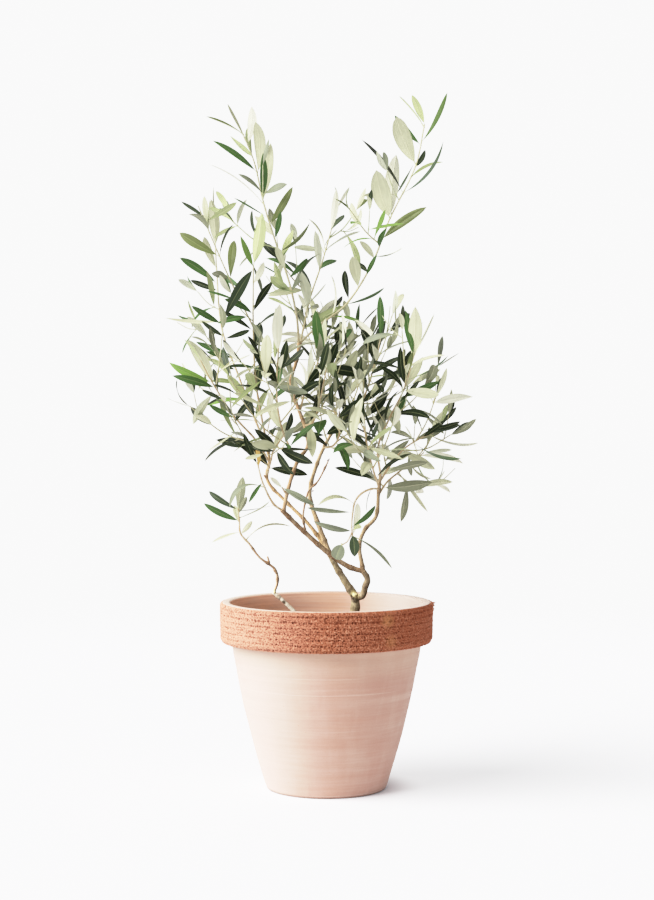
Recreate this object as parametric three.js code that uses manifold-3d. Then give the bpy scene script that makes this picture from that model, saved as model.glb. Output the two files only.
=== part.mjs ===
// A young olive tree in a hand-thrown terracotta pot.
// Millimetres. +Z is up, +X is to the viewer's right and -Y is towards the viewer.
// The origin is the centre of the pot's flat underside.
import * as THREE from 'three';
import { mergeVertices } from 'three/addons/utils/BufferGeometryUtils.js';
import Module from 'manifold-3d';

const wasm = await Module();
wasm.setup();

// The pot: a tapering body that swells a little, and a thick band under its lip.
const POT = {
  height: 210,
  footRadius: 67.5,
  footChamfer: 2.5,
  shoulderRadius: 107,
  swell: 3.4,
  wall: 9,
  neckWall: 5.6,
  mouthFlare: 0.22,
  floor: 13,
  floorCorner: 6,
  lipRadius: 118.5,
  lipThickness: 3.4,
  lipRound: 1.5,
  sides: 36,
};
const BAND = { height: 45, radius: 120, corner: 5, draught: 0.6, edge: 1, tuck: 8 };
const SOIL_DEPTH_BELOW_LIP = 30;

// The air that is left between two pieces that touch.
const CLEAR = 0.3;

// Corners of a fused solid that lie closer than this are made one.
const WELD = 0.002;

const SOIL_TOP = POT.height - SOIL_DEPTH_BELOW_LIP;
const BAND_FOOT = POT.height - BAND.height;

// How far apart a limb's rings stand, and how long its flare and its knob are.
const LIMB = { sides: 6, ringEvery: 15, fewestRings: 6, flareHeight: 14, knobLength: 9 };

// Woody limbs. Each one leaves the limb named in `from` at the share `at` of its length, and
// runs through `via`, [x, y, z]. `r` is its radius at its root and at its tip. `flare` is what a
// foot in the soil adds to its radius, and `knob` what a knuckle adds at the tip.
const LIMBS = [
  { name: 'trunk', r: [5.8, 2.9], flare: 2.4,
    via: [[30, 0, SOIL_TOP], [32, 0, 214], [23, 0, 229], [7, 0, 256], [3, 0, 265]] },
  { name: 'leader', from: 'trunk', at: 1, r: [2.9, 1.7],
    via: [[-11, 6, 301], [-19, 12, 330], [-9, 18, 369], [4, 18, 396], [13, 15, 409]] },
  { name: 'left_bough', from: 'trunk', at: 0.97, r: [2.2, 1.6],
    via: [[-19, 6, 295], [-44, 12, 320], [-67, 16, 346], [-65, 18, 369], [-68, 20, 388]] },
  { name: 'right_foot', from: 'trunk', at: 0.37, r: [3.8, 3.3],
    via: [[40, -4, 216], [44, -8, 228], [46, -10, 236], [41, -12, 245]] },
  { name: 'crossing_bough', from: 'right_foot', at: 0.99, r: [2.9, 2.5],
    via: [[25, -14, 250], [3, -18, 265], [-28, -26, 293], [-50, -35, 315]] },
  { name: 'right_bough', from: 'right_foot', at: 0.99, r: [2.4, 1.9],
    via: [[37, -14, 275], [43, -17, 292], [55, -20, 306], [58, -24, 332], [60, -26, 354]] },
  { name: 'middle_bough', from: 'crossing_bough', at: 0.97, r: [2.2, 1.9], knob: 1.3,
    via: [
      [-44, -32, 332], [-32, -20, 369], [-21, -12, 385], [-23, -8, 403], [-33, -4, 431], [-40, 0, 456],
      [-34, 0, 480], [-30, 0, 501],
    ] },
  { name: 'bare_twig', from: 'crossing_bough', at: 0.66, r: [1.2, 0.9],
    via: [[-26, -31, 306], [-23, -33, 325], [-19, -36, 337], [-10, -38, 346], [2, -42, 369]] },
  { name: 'side_stem', r: [2.0, 1.2], flare: 0.6,
    via: [
      [-16, -12, SOIL_TOP], [-49, -12, 212], [-58, -12, 220], [-55, -13, 232], [-57, -14, 246],
      [-75, -18, 261], [-86, -20, 276],
    ] },
];

// Masses of foliage. A mass has one stem, which leaves its limb as a limb leaves its parent.
// `placed` are leaves that stand out: [share along the stem, which side shows, x, y, z of the tip],
// and a broad one ends in its width as a share of its length.
// `forks` are side twigs that end at `to`. The seed deals out `shoots` more of them, and pairs of
// leaves on them all: `step` is the distance between two pairs, and `leaf` is a leaf's length.
const MASSES = [
  { name: 'foliage_top_right', seed: 5, from: 'middle_bough', at: 1,
    via: [[-11, 4, 519], [22, 10, 545], [52, 18, 592], [71, 26, 641], [102, 32, 705], [112, 35, 752]],
    placed: [
      [1, 'underside', 97, 29, 785], [0.99, 'edge', 83, 43, 786], [0.93, 'top', 138, 30, 788],
      [0.92, 'top', 78, 44, 764], [0.84, 'underside', 79, 18, 758, 0.4], [0.83, 'top', 114, 54, 726],
      [0.72, 'edge', 133, 21, 731], [0.72, 'edge', 40, 35, 735], [0.61, 'underside', 56, 10, 697, 0.44],
      [0.62, 'underside', 80, 41, 719], [0.52, 'underside', 114, 17, 656], [0.49, 'top', 68, -9, 630],
      [0.44, 'underside', 37, 1, 616], [0.45, 'edge', 87, 43, 612], [0.37, 'top', 57, 0, 601],
      [0.38, 'top', 33, 46, 596], [0.31, 'underside', 29, -1, 599, 0.4], [0.23, 'edge', 66, 4, 564],
      [0.25, 'top', 21, 35, 586],
    ],
    forks: [{ at: 0.5, to: [28, -5, 648], leaf: 40, step: 15 }], shoots: 0, step: 27, leaf: 48 },
  { name: 'foliage_top_left', seed: 9, from: 'middle_bough', at: 0.975,
    via: [
      [-33, -8, 527], [-41, -12, 566], [-58, -20, 617], [-70, -26, 656], [-80, -31, 700], [-92, -36, 730],
    ],
    placed: [
      [1, 'edge', -133, -40, 749], [0.97, 'edge', -110, -23, 766], [0.95, 'underside', -83, -24, 763],
      [0.82, 'top', -126, -36, 723], [0.81, 'underside', -78, -42, 743], [0.69, 'top', -62, -20, 723],
      [0.7, 'top', -70, -43, 709], [0.67, 'edge', -132, -8, 701], [0.58, 'underside', -37, -32, 673],
      [0.61, 'edge', -103, -28, 661], [0.51, 'top', -50, -42, 645], [0.52, 'underside', -81, 0, 644],
      [0.45, 'edge', -18, -26, 634], [0.4, 'top', -73, 6, 616], [0.35, 'underside', -56, -34, 607],
      [0.32, 'top', -21, 5, 597],
    ],
    forks: [], shoots: 1, step: 24, leaf: 46 },
  { name: 'foliage_top_middle', seed: 14, from: 'middle_bough', at: 0.95,
    via: [[-24, 15, 528], [-19, 25, 552], [-5, 38, 595], [8, 50, 643], [11, 52, 657]],
    placed: [],
    forks: [{ at: 0.4, to: [-50, -2, 590], leaf: 44, step: 20 }], shoots: 2, step: 22, leaf: 50 },
  { name: 'foliage_left_inner', seed: 21, from: 'left_bough', at: 1,
    via: [[-74, 12, 420], [-80, 5, 460], [-82, -12, 521], [-81, -28, 586]],
    placed: [
      [1, 'underside', -71, -36, 644], [0.99, 'top', -95, -42, 618], [0.98, 'top', -112, -50, 527],
      [0.91, 'top', -36, -36, 630], [0.9, 'underside', -70, -5, 592], [0.74, 'top', -59, -37, 568],
      [0.73, 'top', -113, -41, 548],
    ],
    forks: [{ at: 0.66, to: [-140, -60, 648], leaf: 46, step: 22 }], shoots: 2, step: 22, leaf: 48 },
  { name: 'foliage_left_outer', seed: 27, from: 'left_bough', at: 0.93,
    via: [[-88, 42, 430], [-101, 50, 464], [-121, 62, 519], [-128, 75, 589], [-130, 78, 622]],
    placed: [
      [1, 'edge', -132, 82, 688, 0.14], [0.98, 'underside', -134, 64, 671],
      [0.88, 'underside', -142, 63, 627], [0.87, 'top', -100, 59, 568], [0.81, 'top', -171, 68, 603],
      [0.78, 'top', -160, 85, 578], [0.64, 'edge', -188, 68, 533], [0.63, 'top', -156, 47, 546],
      [0.57, 'top', -145, 52, 529],
      [0.56, 'top', -89, 74, 519], [0.48, 'top', -152, 60, 505], [0.47, 'top', -139, 36, 493],
      [0.41, 'top', -134, 42, 483],
    ],
    forks: [], shoots: 1, step: 21, leaf: 46 },
  { name: 'foliage_left_low', seed: 33, from: 'left_bough', at: 0.86,
    via: [[-80, 0, 392], [-103, -25, 419], [-129, -50, 462], [-138, -55, 480]],
    placed: [
      [0.8, 'underside', -152, -56, 503], [0.82, 'top', -174, -43, 478], [0.77, 'top', -169, -61, 463],
      [0.73, 'top', -126, -26, 472], [0.66, 'top', -138, -45, 448], [0.48, 'top', -132, -17, 432],
      [0.37, 'edge', -132, -23, 380],
    ],
    forks: [], shoots: 2, step: 20, leaf: 46 },
  { name: 'foliage_left_spur', seed: 38, from: 'crossing_bough', at: 1,
    via: [[-58, -39, 321], [-70, -47, 345], [-76, -52, 368]],
    placed: [
      [0.53, 'edge', -107, -54, 318], [0.63, 'underside', -85, -69, 324], [0.96, 'top', -91, -57, 401],
      [0.95, 'edge', -106, -47, 392], [0.92, 'top', -77, -63, 388],
    ],
    forks: [], shoots: 0, step: 17, leaf: 38 },
  { name: 'foliage_side_stem', seed: 42, from: 'side_stem', at: 1,
    via: [[-96, -22, 288], [-97, -24, 300], [-98, -26, 316]],
    placed: [
      [0.12, 'edge', -40, -6, 295], [0.39, 'edge', -128, -28, 278], [0.34, 'underside', -82, -36, 303],
      [0.68, 'top', -137, -28, 322], [0.74, 'edge', -70, -41, 297], [0.96, 'top', -132, -16, 335],
      [0.86, 'underside', -88, -39, 330], [0.95, 'underside', -93, -26, 352, 0.34],
      [0.75, 'edge', -63, -17, 324], [0.9, 'top', -96, 12, 338], [0.6, 'top', -104, 8, 318],
    ],
    forks: [], shoots: 0, step: 12, leaf: 40 },
  { name: 'foliage_low_front', seed: 44, from: 'middle_bough', at: 0.1,
    via: [[-47, -36, 336], [-49, -40, 340]],
    placed: [[1, 'top', -12, -46, 320], [0.9, 'underside', -62, -50, 352]],
    forks: [], shoots: 0, step: 12, leaf: 30 },
  { name: 'foliage_low_left', seed: 45, from: 'left_bough', at: 0.76,
    via: [[-62, -14, 370], [-58, -46, 382], [-46, -76, 398]],
    placed: [], forks: [], shoots: 3, step: 20, leaf: 48 },
  { name: 'foliage_front_left', seed: 47, from: 'middle_bough', at: 0.3,
    via: [[-40, -34, 383], [-49, -55, 406], [-54, -72, 440], [-52, -84, 492]],
    placed: [[0.97, 'underside', -50, -92, 540]],
    forks: [], shoots: 4, step: 21, leaf: 52 },
  { name: 'foliage_middle', seed: 52, from: 'middle_bough', at: 0.6,
    via: [[-22, 18, 455], [-10, 30, 480], [-4, 42, 520]],
    placed: [],
    forks: [], shoots: 4, step: 21, leaf: 52 },
  { name: 'foliage_leader', seed: 58, from: 'leader', at: 1,
    via: [[8, 32, 431], [4, 45, 455], [12, 60, 500]],
    placed: [],
    forks: [], shoots: 4, step: 21, leaf: 52 },
  { name: 'foliage_front', seed: 60, from: 'middle_bough', at: 0.52,
    via: [[-15, -34, 412], [-8, -56, 432], [0, -72, 470]],
    placed: [], forks: [], shoots: 4, step: 21, leaf: 52 },
  { name: 'foliage_low_middle', seed: 61, from: 'leader', at: 0.8,
    via: [[8, -10, 386], [14, -34, 398], [14, -58, 424]],
    placed: [], forks: [], shoots: 3, step: 20, leaf: 50 },
  { name: 'foliage_right_inner', seed: 63, from: 'leader', at: 0.93,
    via: [[27, 5, 420], [41, -10, 438], [54, -28, 478], [60, -34, 505]],
    placed: [[1, 'top', 59, -40, 552]],
    forks: [], shoots: 4, step: 21, leaf: 52 },
  { name: 'foliage_right', seed: 69, from: 'right_bough', at: 1,
    via: [[57, -38, 384], [69, -50, 416], [85, -62, 449], [95, -70, 484]],
    placed: [
      [0.97, 'underside', 96, -81, 538, 0.32], [1, 'top', 86, -62, 535], [0.99, 'edge', 118, -64, 531],
      [0.81, 'edge', 133, -68, 485], [0.77, 'top', 80, -79, 495], [0.74, 'underside', 106, -54, 484],
      [0.66, 'top', 124, -65, 457],
    ],
    forks: [], shoots: 3, step: 21, leaf: 50 },
  { name: 'foliage_right_outer', seed: 74, from: 'right_bough', at: 0.93,
    via: [[74, -10, 367], [88, 5, 382], [106, 18, 393], [122, 26, 400]],
    placed: [
      [0.98, 'top', 153, 21, 409], [0.99, 'underside', 134, 38, 425], [0.94, 'edge', 174, 28, 388],
      [0.85, 'top', 136, 0, 415], [0.8, 'underside', 122, 14, 438], [0.71, 'edge', 152, -5, 371],
      [0.63, 'edge', 148, 29, 382], [0.52, 'underside', 122, -19, 359],
    ],
    forks: [], shoots: 3, step: 19, leaf: 50 },
  { name: 'foliage_right_low', seed: 80, from: 'right_bough', at: 0.8,
    via: [[68, 0, 344], [84, 25, 356], [98, 42, 366], [112, 54, 376]],
    placed: [[0.89, 'edge', 127, 54, 338], [0.77, 'edge', 120, 26, 347], [0.54, 'edge', 115, 4, 310]],
    forks: [], shoots: 3, step: 19, leaf: 50 },
  { name: 'foliage_front_right', seed: 85, from: 'right_bough', at: 0.87,
    via: [[52, -44, 358], [47, -66, 376], [40, -84, 408]],
    placed: [],
    forks: [], shoots: 4, step: 20, leaf: 52 },
  { name: 'foliage_inner_twig', seed: 91, from: 'right_bough', at: 0.86,
    via: [[50, -33, 338], [40, -37, 334], [32, -38, 325], [29, -38, 311], [28, -38, 297], [29, -38, 285]],
    placed: [
      [0.52, 'underside', -10, -44, 320], [0.64, 'top', -20, -36, 317], [0.91, 'underside', -15, -46, 303],
      [1, 'edge', 73, -42, 250], [0.98, 'underside', 34, -50, 324], [0.97, 'top', 31, -56, 264, 0.5],
    ],
    forks: [{ at: 0.93, to: [17, -42, 277], leaf: 18, step: 40 }], shoots: 0, step: 60, leaf: 30 },
];

// How twigs and leaves grow, in millimetres, degrees and shares of a length. The same for every mass.
const TWIG = {
  sides: 3,
  stemRadius: [1.35, 0.7],
  sideRadius: [0.9, 0.55],
  stemBare: 0.16,
  forkBare: 0.2,
  shootBare: 0.26,
  forkSag: 4,
  shootLength: 74,
  shootShortening: 0.35,
  shootLengthSpread: 0.15,
  shootAngle: 42,
  shootAngleSpread: 10,
  shootLift: 0.22,
  shootLeaf: 0.94,
  firstShoot: 0.2,
  lastShoot: 0.78,
  shootSpread: 0.05,
  shootTurn: 137.5,
  shootTurnSpread: 60,
  reachPoints: 24,
};
const LEAF = {
  angleAtRoot: 58,
  angleAtTip: 24,
  angleSpread: 12,
  firstTurn: 30,
  turnSpread: 12,
  twistSpread: 34,
  placedSpread: 16,
  edgeTurn: 78,
  lengthSpread: 0.16,
  shortestAtTip: 0.7,
  widthShare: 0.27,
  rootShare: 0.22,
  thicknessShare: 0.022,
  archShare: 0.05,
  rootSunk: 0.6,
  lastPair: 0.995,
  besidePlaced: 0.45,
};

// How far from its mass's stem the tip of a dealt leaf may be.
const MASS_REACH = 110;

const COLOURS = {
  bark: 0xa8926b,
  youngBark: 0xb9a078,
  leaf: 0x6f8a5e,
  clay: 0xe3c4b2,
  band: 0xc47a5b,
  soil: 0x4a3a2e,
};

const UP = new THREE.Vector3(0, 0, 1);
const AWAY = new THREE.Vector3(0, 1, 0);
const radians = THREE.MathUtils.degToRad;
const mix = THREE.MathUtils.lerp;

// A small repeatable random source: numbers from 0 to 1.
function seededRandom(seed) {
  let state = seed >>> 0;
  return () => {
    state = (Math.imul(state, 1664525) + 1013904223) >>> 0;
    return state / 4294967296;
  };
}

// A random number from -most to most.
function spread(random, most) {
  return (random() * 2 - 1) * most;
}

function solidOf(geometry) {
  const bare = new THREE.BufferGeometry();
  bare.setAttribute('position', geometry.getAttribute('position').clone());
  bare.setIndex(geometry.getIndex());
  const merged = mergeVertices(bare);
  return new wasm.Manifold(new wasm.Mesh({
    numProp: 3,
    vertProperties: merged.attributes.position.array,
    triVerts: new Uint32Array(merged.index.array),
  }));
}

function isEmpty(solid) {
  return solid.getMesh().triVerts.length === 0;
}

// The corners and faces of a solid once corners closer than the weld distance are made one.
function weldedFaces(solid) {
  const mesh = solid.getMesh();
  const numbers = new Map();
  const corners = [];
  const cornerOf = Array.from({ length: mesh.vertProperties.length / mesh.numProp }, (_, i) => {
    const start = i * mesh.numProp;
    const place = [...mesh.vertProperties.subarray(start, start + 3)].map((v) => Math.round(v / WELD));
    const key = place.join(' ');
    if (!numbers.has(key)) {
      numbers.set(key, corners.length);
      corners.push(place.map((v) => v * WELD));
    }
    return numbers.get(key);
  });
  const faces = [];
  for (let i = 0; i < mesh.triVerts.length; i += 3) {
    const [a, b, c] = [0, 1, 2].map((k) => cornerOf[mesh.triVerts[i + k]]);
    if (a !== b && b !== c && c !== a) faces.push([a, b, c]);
  }
  return { corners, faces };
}

// Whether every edge belongs to one face on each side.
function isClosed(faces) {
  const seen = new Set();
  for (const [a, b, c] of faces) {
    for (const edge of [`${a} ${b}`, `${b} ${c}`, `${c} ${a}`]) {
      if (seen.has(edge)) return false;
      seen.add(edge);
    }
  }
  return [...seen].every((edge) => seen.has(edge.split(' ').reverse().join(' ')));
}

// The largest closed body of a solid as a geometry: loose scraps and sealed hollows are left behind.
function largestBody(solid) {
  const { corners, faces } = weldedFaces(solid);
  const parent = corners.map((_, i) => i);
  const rootOf = (i) => {
    while (parent[i] !== i) i = parent[i] = parent[parent[i]];
    return i;
  };
  for (const [a, b, c] of faces) {
    parent[rootOf(b)] = rootOf(a);
    parent[rootOf(c)] = rootOf(a);
  }
  const bodies = new Map();
  for (const face of faces) {
    const root = rootOf(face[0]);
    if (!bodies.has(root)) bodies.set(root, []);
    bodies.get(root).push(face);
  }
  const largest = [...bodies.values()].reduce((a, b) => (b.length > a.length ? b : a));
  if (!isClosed(largest)) throw new Error('a fused solid is not closed');
  const geometry = new THREE.BufferGeometry();
  const positions = largest.flat().flatMap((corner) => corners[corner]);
  geometry.setAttribute('position', new THREE.Float32BufferAttribute(positions, 3));
  return geometry;
}

// Where a limb or twig is at the share u of its length, which way it heads, and two directions across it.
function frameAt(curve, u) {
  const reach = curve.points.at(-1).clone().sub(curve.points[0]);
  const reference = Math.abs(reach.y) < 0.8 * reach.length() ? AWAY : UP;
  const along = curve.getTangentAt(u);
  const side = along.clone().cross(reference).normalize();
  const across = side.clone().cross(along);
  return { point: curve.getPointAt(u), along, side, across };
}

// A tapering tube along a curve. `grow` makes it fatter and longer all round.
function tubeAlong(curve, radiusAt, sides, steps, grow = 0) {
  const geometry = new THREE.CylinderGeometry(1, 1, 1, sides, steps);
  const place = geometry.getAttribute('position');
  const frames = Array.from({ length: steps + 1 }, (_, i) => frameAt(curve, i / steps));
  for (let i = 0; i < place.count; i++) {
    const u = place.getY(i) + 0.5;
    const ring = frames[Math.round(u * steps)];
    const radius = radiusAt(u) + grow;
    const end = u < 0.001 ? -grow : u > 0.999 ? grow : 0;
    const moved = ring.point.clone()
      .addScaledVector(ring.side, place.getX(i) * radius)
      .addScaledVector(ring.across, place.getZ(i) * radius)
      .addScaledVector(ring.along, end);
    place.setXYZ(i, moved.x, moved.y, moved.z);
  }
  return geometry;
}

function curveThrough(start, via) {
  const points = via.map((p) => new THREE.Vector3(...p));
  if (start) points.unshift(start);
  return new THREE.CatmullRomCurve3(points);
}

// The pot's outer radius at a height.
function potRadiusAt(z) {
  const u = z / BAND_FOOT;
  return mix(POT.footRadius, POT.shoulderRadius, u) + POT.swell * 4 * u * (1 - u);
}

// A profile of [radius, height] turned round the pot's axis, which stands along +Z.
function turned(profile) {
  const points = profile.map(([r, z]) => new THREE.Vector2(r, z));
  return new THREE.LatheGeometry(points, POT.sides).rotateX(Math.PI / 2);
}

// The pot's inner radius at a height. Above the band's foot the wall flares a little more.
function innerRadiusAt(z) {
  return potRadiusAt(Math.min(z, BAND_FOOT)) - POT.wall + Math.max(0, z - BAND_FOOT) * POT.mouthFlare;
}

// The outer radius of the wall behind the band.
function neckRadius() {
  return innerRadiusAt(POT.height) + POT.neckWall;
}

function potProfile() {
  const lipFoot = POT.height - POT.lipThickness;
  const mouth = innerRadiusAt(POT.height);
  const body = [0, 0.25, 0.5, 0.75, 1].map((u) => Math.max(u * BAND_FOOT, POT.footChamfer));
  const outside = [
    [0, 0],
    [POT.footRadius - POT.footChamfer, 0],
    ...body.map((z) => [potRadiusAt(z), z]),
    [neckRadius(), BAND_FOOT + BAND.tuck],
    [neckRadius(), lipFoot],
    [POT.lipRadius, lipFoot],
    [POT.lipRadius, POT.height - POT.lipRound],
    [POT.lipRadius - POT.lipRound, POT.height],
  ];
  const inside = [
    [mouth + POT.lipRound, POT.height],
    [mouth, POT.height - POT.lipRound],
    ...[BAND_FOOT, BAND_FOOT / 2, POT.floor + POT.floorCorner].map((z) => [innerRadiusAt(z), z]),
    [innerRadiusAt(POT.floor) - POT.floorCorner, POT.floor],
    [0, POT.floor],
  ];
  return [...outside, ...inside];
}

function bandProfile() {
  const foot = BAND_FOOT + CLEAR;
  const top = POT.height - POT.lipThickness - CLEAR;
  const neck = neckRadius() + CLEAR;
  const outline = [
    [potRadiusAt(BAND_FOOT) + CLEAR, foot],
    [BAND.radius - BAND.corner, foot],
    [BAND.radius - BAND.edge - BAND.draught, foot + BAND.corner / 2],
    [BAND.radius - BAND.draught, foot + BAND.corner * 2],
    [BAND.radius, top - BAND.corner],
    [BAND.radius - BAND.edge, top],
    [neck, top],
    [neck, BAND_FOOT + BAND.tuck],
  ];
  return [...outline, outline[0]];
}

function soilProfile() {
  const foot = POT.floor + CLEAR;
  const surface = SOIL_TOP - CLEAR;
  const wallAt = (z) => [innerRadiusAt(z) - CLEAR, z];
  return [
    [0, foot],
    [innerRadiusAt(POT.floor) - POT.floorCorner - CLEAR, foot],
    ...[POT.floor + POT.floorCorner, BAND_FOOT / 2, BAND_FOOT, surface].map(wallAt),
    [0, surface],
  ];
}

function named(name, geometry, colour, roughness = 0.8) {
  const material = new THREE.MeshStandardMaterial({ color: colour, roughness, metalness: 0 });
  geometry.computeVertexNormals();
  const mesh = new THREE.Mesh(geometry, material);
  mesh.name = name;
  return mesh;
}

// A limb's radius along it: a straight taper, a flare at a root that stands in soil, and a knob at a tip.
function limbRadius(limb, u, length) {
  const flare = (limb.flare ?? 0) * Math.max(0, 1 - (u * length) / LIMB.flareHeight) ** 2;
  const knob = (limb.knob ?? 0) * Math.max(0, 1 - ((1 - u) * length) / LIMB.knobLength);
  return mix(limb.r[0], limb.r[1], u) + flare + knob;
}

// Every limb as its curve, its solid, and the fatter solid that keeps its neighbours clear.
function growLimbs() {
  const limbs = new Map();
  for (const limb of LIMBS) {
    const start = limb.from && limbs.get(limb.from).curve.getPointAt(limb.at);
    const curve = curveThrough(start, limb.via);
    const length = curve.getLength();
    const steps = Math.max(LIMB.fewestRings, Math.round(length / LIMB.ringEvery));
    const shapeAt = (grow) => tubeAlong(curve, (u) => limbRadius(limb, u, length), LIMB.sides, steps, grow);
    let solid = solidOf(shapeAt(0));
    for (const earlier of limbs.values()) solid = solid.subtract(earlier.guard);
    if (!limb.from) solid = solid.subtract(soilBlock());
    limbs.set(limb.name, { curve, geometry: largestBody(solid), guard: solidOf(shapeAt(CLEAR)) });
  }
  return limbs;
}

// A block that cuts the foot of a stem flat at the top of the soil.
function soilBlock() {
  const width = 2 * POT.lipRadius;
  return solidOf(new THREE.BoxGeometry(width, width, SOIL_TOP).translate(0, 0, SOIL_TOP / 2));
}

// A leaf whose tip has a place of its own, with its top, its underside or its edge to the viewer.
function placedLeaf(twig, [at, shows, x, y, z, width = LEAF.widthShare], random) {
  const { point } = frameAt(twig.curve, at);
  const heading = new THREE.Vector3(x, y, z).sub(point);
  const length = heading.length();
  heading.normalize();
  const turns = { top: 0, underside: 180, edge: LEAF.edgeTurn };
  const turn = radians(turns[shows] + spread(random, LEAF.placedSpread));
  const towards = AWAY.clone().negate();
  const face = towards.addScaledVector(heading, -towards.dot(heading)).normalize();
  face.applyAxisAngle(heading, turn);
  return { point, heading, face, length, width: width * length, isPlaced: true };
}

// The pairs of leaves along one twig. Each pair is a quarter turn on from the last, and none is
// dealt where a placed leaf already stands.
function leavesOn(twig, random) {
  const length = twig.curve.getLength();
  const pairs = Math.max(2, Math.round((length * (1 - twig.bare)) / twig.step));
  const leaves = twig.placed.map((row) => placedLeaf(twig, row, random));
  const turn = random() * LEAF.firstTurn;
  for (let i = 0; i < pairs; i++) {
    const t = i / (pairs - 1);
    const u = mix(twig.bare, LEAF.lastPair, t);
    const frame = frameAt(twig.curve, u);
    const isTaken = twig.placed.some(([at]) => Math.abs(at - u) * length < twig.step * LEAF.besidePlaced);
    for (const half of [0, 180]) {
      const roll = radians(turn + 90 * i + half + spread(random, LEAF.turnSpread));
      const angle = radians(mix(LEAF.angleAtRoot, LEAF.angleAtTip, t * t) + spread(random, LEAF.angleSpread));
      const twist = radians(spread(random, LEAF.twistSpread));
      const size = mix(1, LEAF.shortestAtTip, t ** 4) * (1 + spread(random, LEAF.lengthSpread));
      const outward = acrossAt(frame, roll);
      const heading = between(frame.along, outward, angle);
      const face = between(frame.along, outward, angle + Math.PI / 2).negate().applyAxisAngle(heading, twist);
      const blade = { point: frame.point, heading, face, length: twig.leaf * size };
      if (!isTaken) leaves.push({ ...blade, width: LEAF.widthShare * blade.length, isPlaced: false });
    }
  }
  return leaves;
}

// The direction across a twig at a roll round it.
function acrossAt(frame, roll) {
  return frame.side.clone().multiplyScalar(Math.cos(roll)).addScaledVector(frame.across, Math.sin(roll));
}

// The direction that stands at an angle from one direction towards another square to it.
function between(along, outward, angle) {
  return along.clone().multiplyScalar(Math.cos(angle)).addScaledVector(outward, Math.sin(angle));
}

// One leaf blade of eight faces, whose root lies inside its twig. `grow` makes it larger all round,
// and `from` leaves out a share of it at its root.
function leafBlade({ point, heading, face, length, width }, grow = 0, from = 0) {
  const half = (length * (1 - from)) / 2;
  const blade = new THREE.OctahedronGeometry(1);
  blade.scale(half + grow, width / 2 + grow, (length * LEAF.thicknessShare) / 2 + grow);
  blade.translate(length - half - LEAF.rootSunk, 0, 0);
  const place = blade.getAttribute('position');
  for (let i = 0; i < place.count; i++) {
    const atMiddle = Math.abs(place.getX(i) - length + half) < half / 2;
    if (atMiddle) place.setZ(i, place.getZ(i) + length * LEAF.archShare);
  }
  const across = face.clone().cross(heading);
  return blade.applyMatrix4(new THREE.Matrix4().makeBasis(heading, across, face).setPosition(point));
}

// A side twig that the seed deals out: it leaves its stem at an angle and lifts towards its tip.
function dealtShoot(stem, index, count, random) {
  const share = count > 1 ? index / (count - 1) : 0.5;
  const at = mix(TWIG.firstShoot, TWIG.lastShoot, share) + spread(random, TWIG.shootSpread);
  const roll = radians(index * TWIG.shootTurn + random() * TWIG.shootTurnSpread);
  const angle = radians(TWIG.shootAngle + spread(random, TWIG.shootAngleSpread));
  const shortened = TWIG.shootLength * (1 - TWIG.shootShortening * share);
  const length = shortened * (1 + spread(random, TWIG.shootLengthSpread));
  const frame = frameAt(stem, at);
  const heading = between(frame.along, acrossAt(frame, roll), angle);
  const middle = frame.point.clone().addScaledVector(heading, length / 2);
  const tip = frame.point.clone().addScaledVector(heading, length);
  return new THREE.CatmullRomCurve3([frame.point, middle, tip.addScaledVector(UP, length * TWIG.shootLift)]);
}

// A side twig from a share along the stem to a tip that has a place of its own.
function forkedTwig(stem, { at, to }) {
  const root = stem.getPointAt(at);
  const tip = new THREE.Vector3(...to);
  const middle = root.clone().lerp(tip, 0.5).addScaledVector(UP, -TWIG.forkSag);
  return new THREE.CatmullRomCurve3([root, middle, tip]);
}

// The stem, forks and dealt shoots of a mass, each with what its leaves need to know.
function twigsOf({ from, at, via, placed, forks, shoots, step, leaf }, limbs, random) {
  const stem = curveThrough(limbs.get(from).curve.getPointAt(at), via);
  const main = { curve: stem, radius: TWIG.stemRadius, steps: via.length * 2, bare: TWIG.stemBare };
  const fork = { isDealt: false, radius: TWIG.sideRadius, steps: 4, bare: TWIG.forkBare, placed: [] };
  const shoot = { isDealt: true, radius: TWIG.sideRadius, steps: 2, bare: TWIG.shootBare, placed: [] };
  const shootLeaf = leaf * TWIG.shootLeaf;
  return [
    { ...main, isDealt: false, placed, step, leaf },
    ...forks.map((row) => ({ ...fork, curve: forkedTwig(stem, row), step: row.step, leaf: row.leaf })),
    ...Array.from({ length: shoots }, (_, i) => {
      const curve = dealtShoot(stem, i, shoots, random);
      return { ...shoot, curve, step, leaf: shootLeaf };
    }),
  ];
}

function boxOf(geometry) {
  geometry.computeBoundingBox();
  return geometry.boundingBox.clone();
}

// A stem, twig or leaf of a mass: its own solid, and the fatter one that others are kept off.
// A leaf also has `outer`, which is all of it but its root, to keep its own mass's leaves apart.
function pieceOf(owner, shapeAt, outer) {
  const fat = shapeAt(CLEAR);
  const solid = solidOf(shapeAt(0));
  return { owner, box: boxOf(fat), solid, guard: solidOf(fat), outer: outer && solidOf(outer) };
}

function meets(a, b) {
  return !isEmpty(a.intersect(b));
}

function touches(piece, other) {
  if (!piece.box.intersectsBox(other.box)) return false;
  if (piece.owner !== other.owner) return meets(piece.guard, other.solid);
  if (!piece.outer) return false;
  return meets(piece.outer, other.solid) || Boolean(other.outer && meets(piece.solid, other.outer));
}

// All that stands so far: every limb, and each stem, twig and leaf of the masses.
class Crown {
  constructor(limbs) {
    this.standing = [...limbs].map(([owner, { geometry, guard }]) => ({
      owner, box: boxOf(geometry), solid: guard,
    }));
  }

  stand(piece, plan) {
    this.standing.push(piece);
    plan.pieces.push(piece);
  }

  // Lets a piece stand only if it touches nothing that stands already.
  takeIn(piece, plan) {
    const isClear = !this.standing.some((other) => touches(piece, other));
    if (isClear) this.stand(piece, plan);
    return isClear;
  }
}

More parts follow.
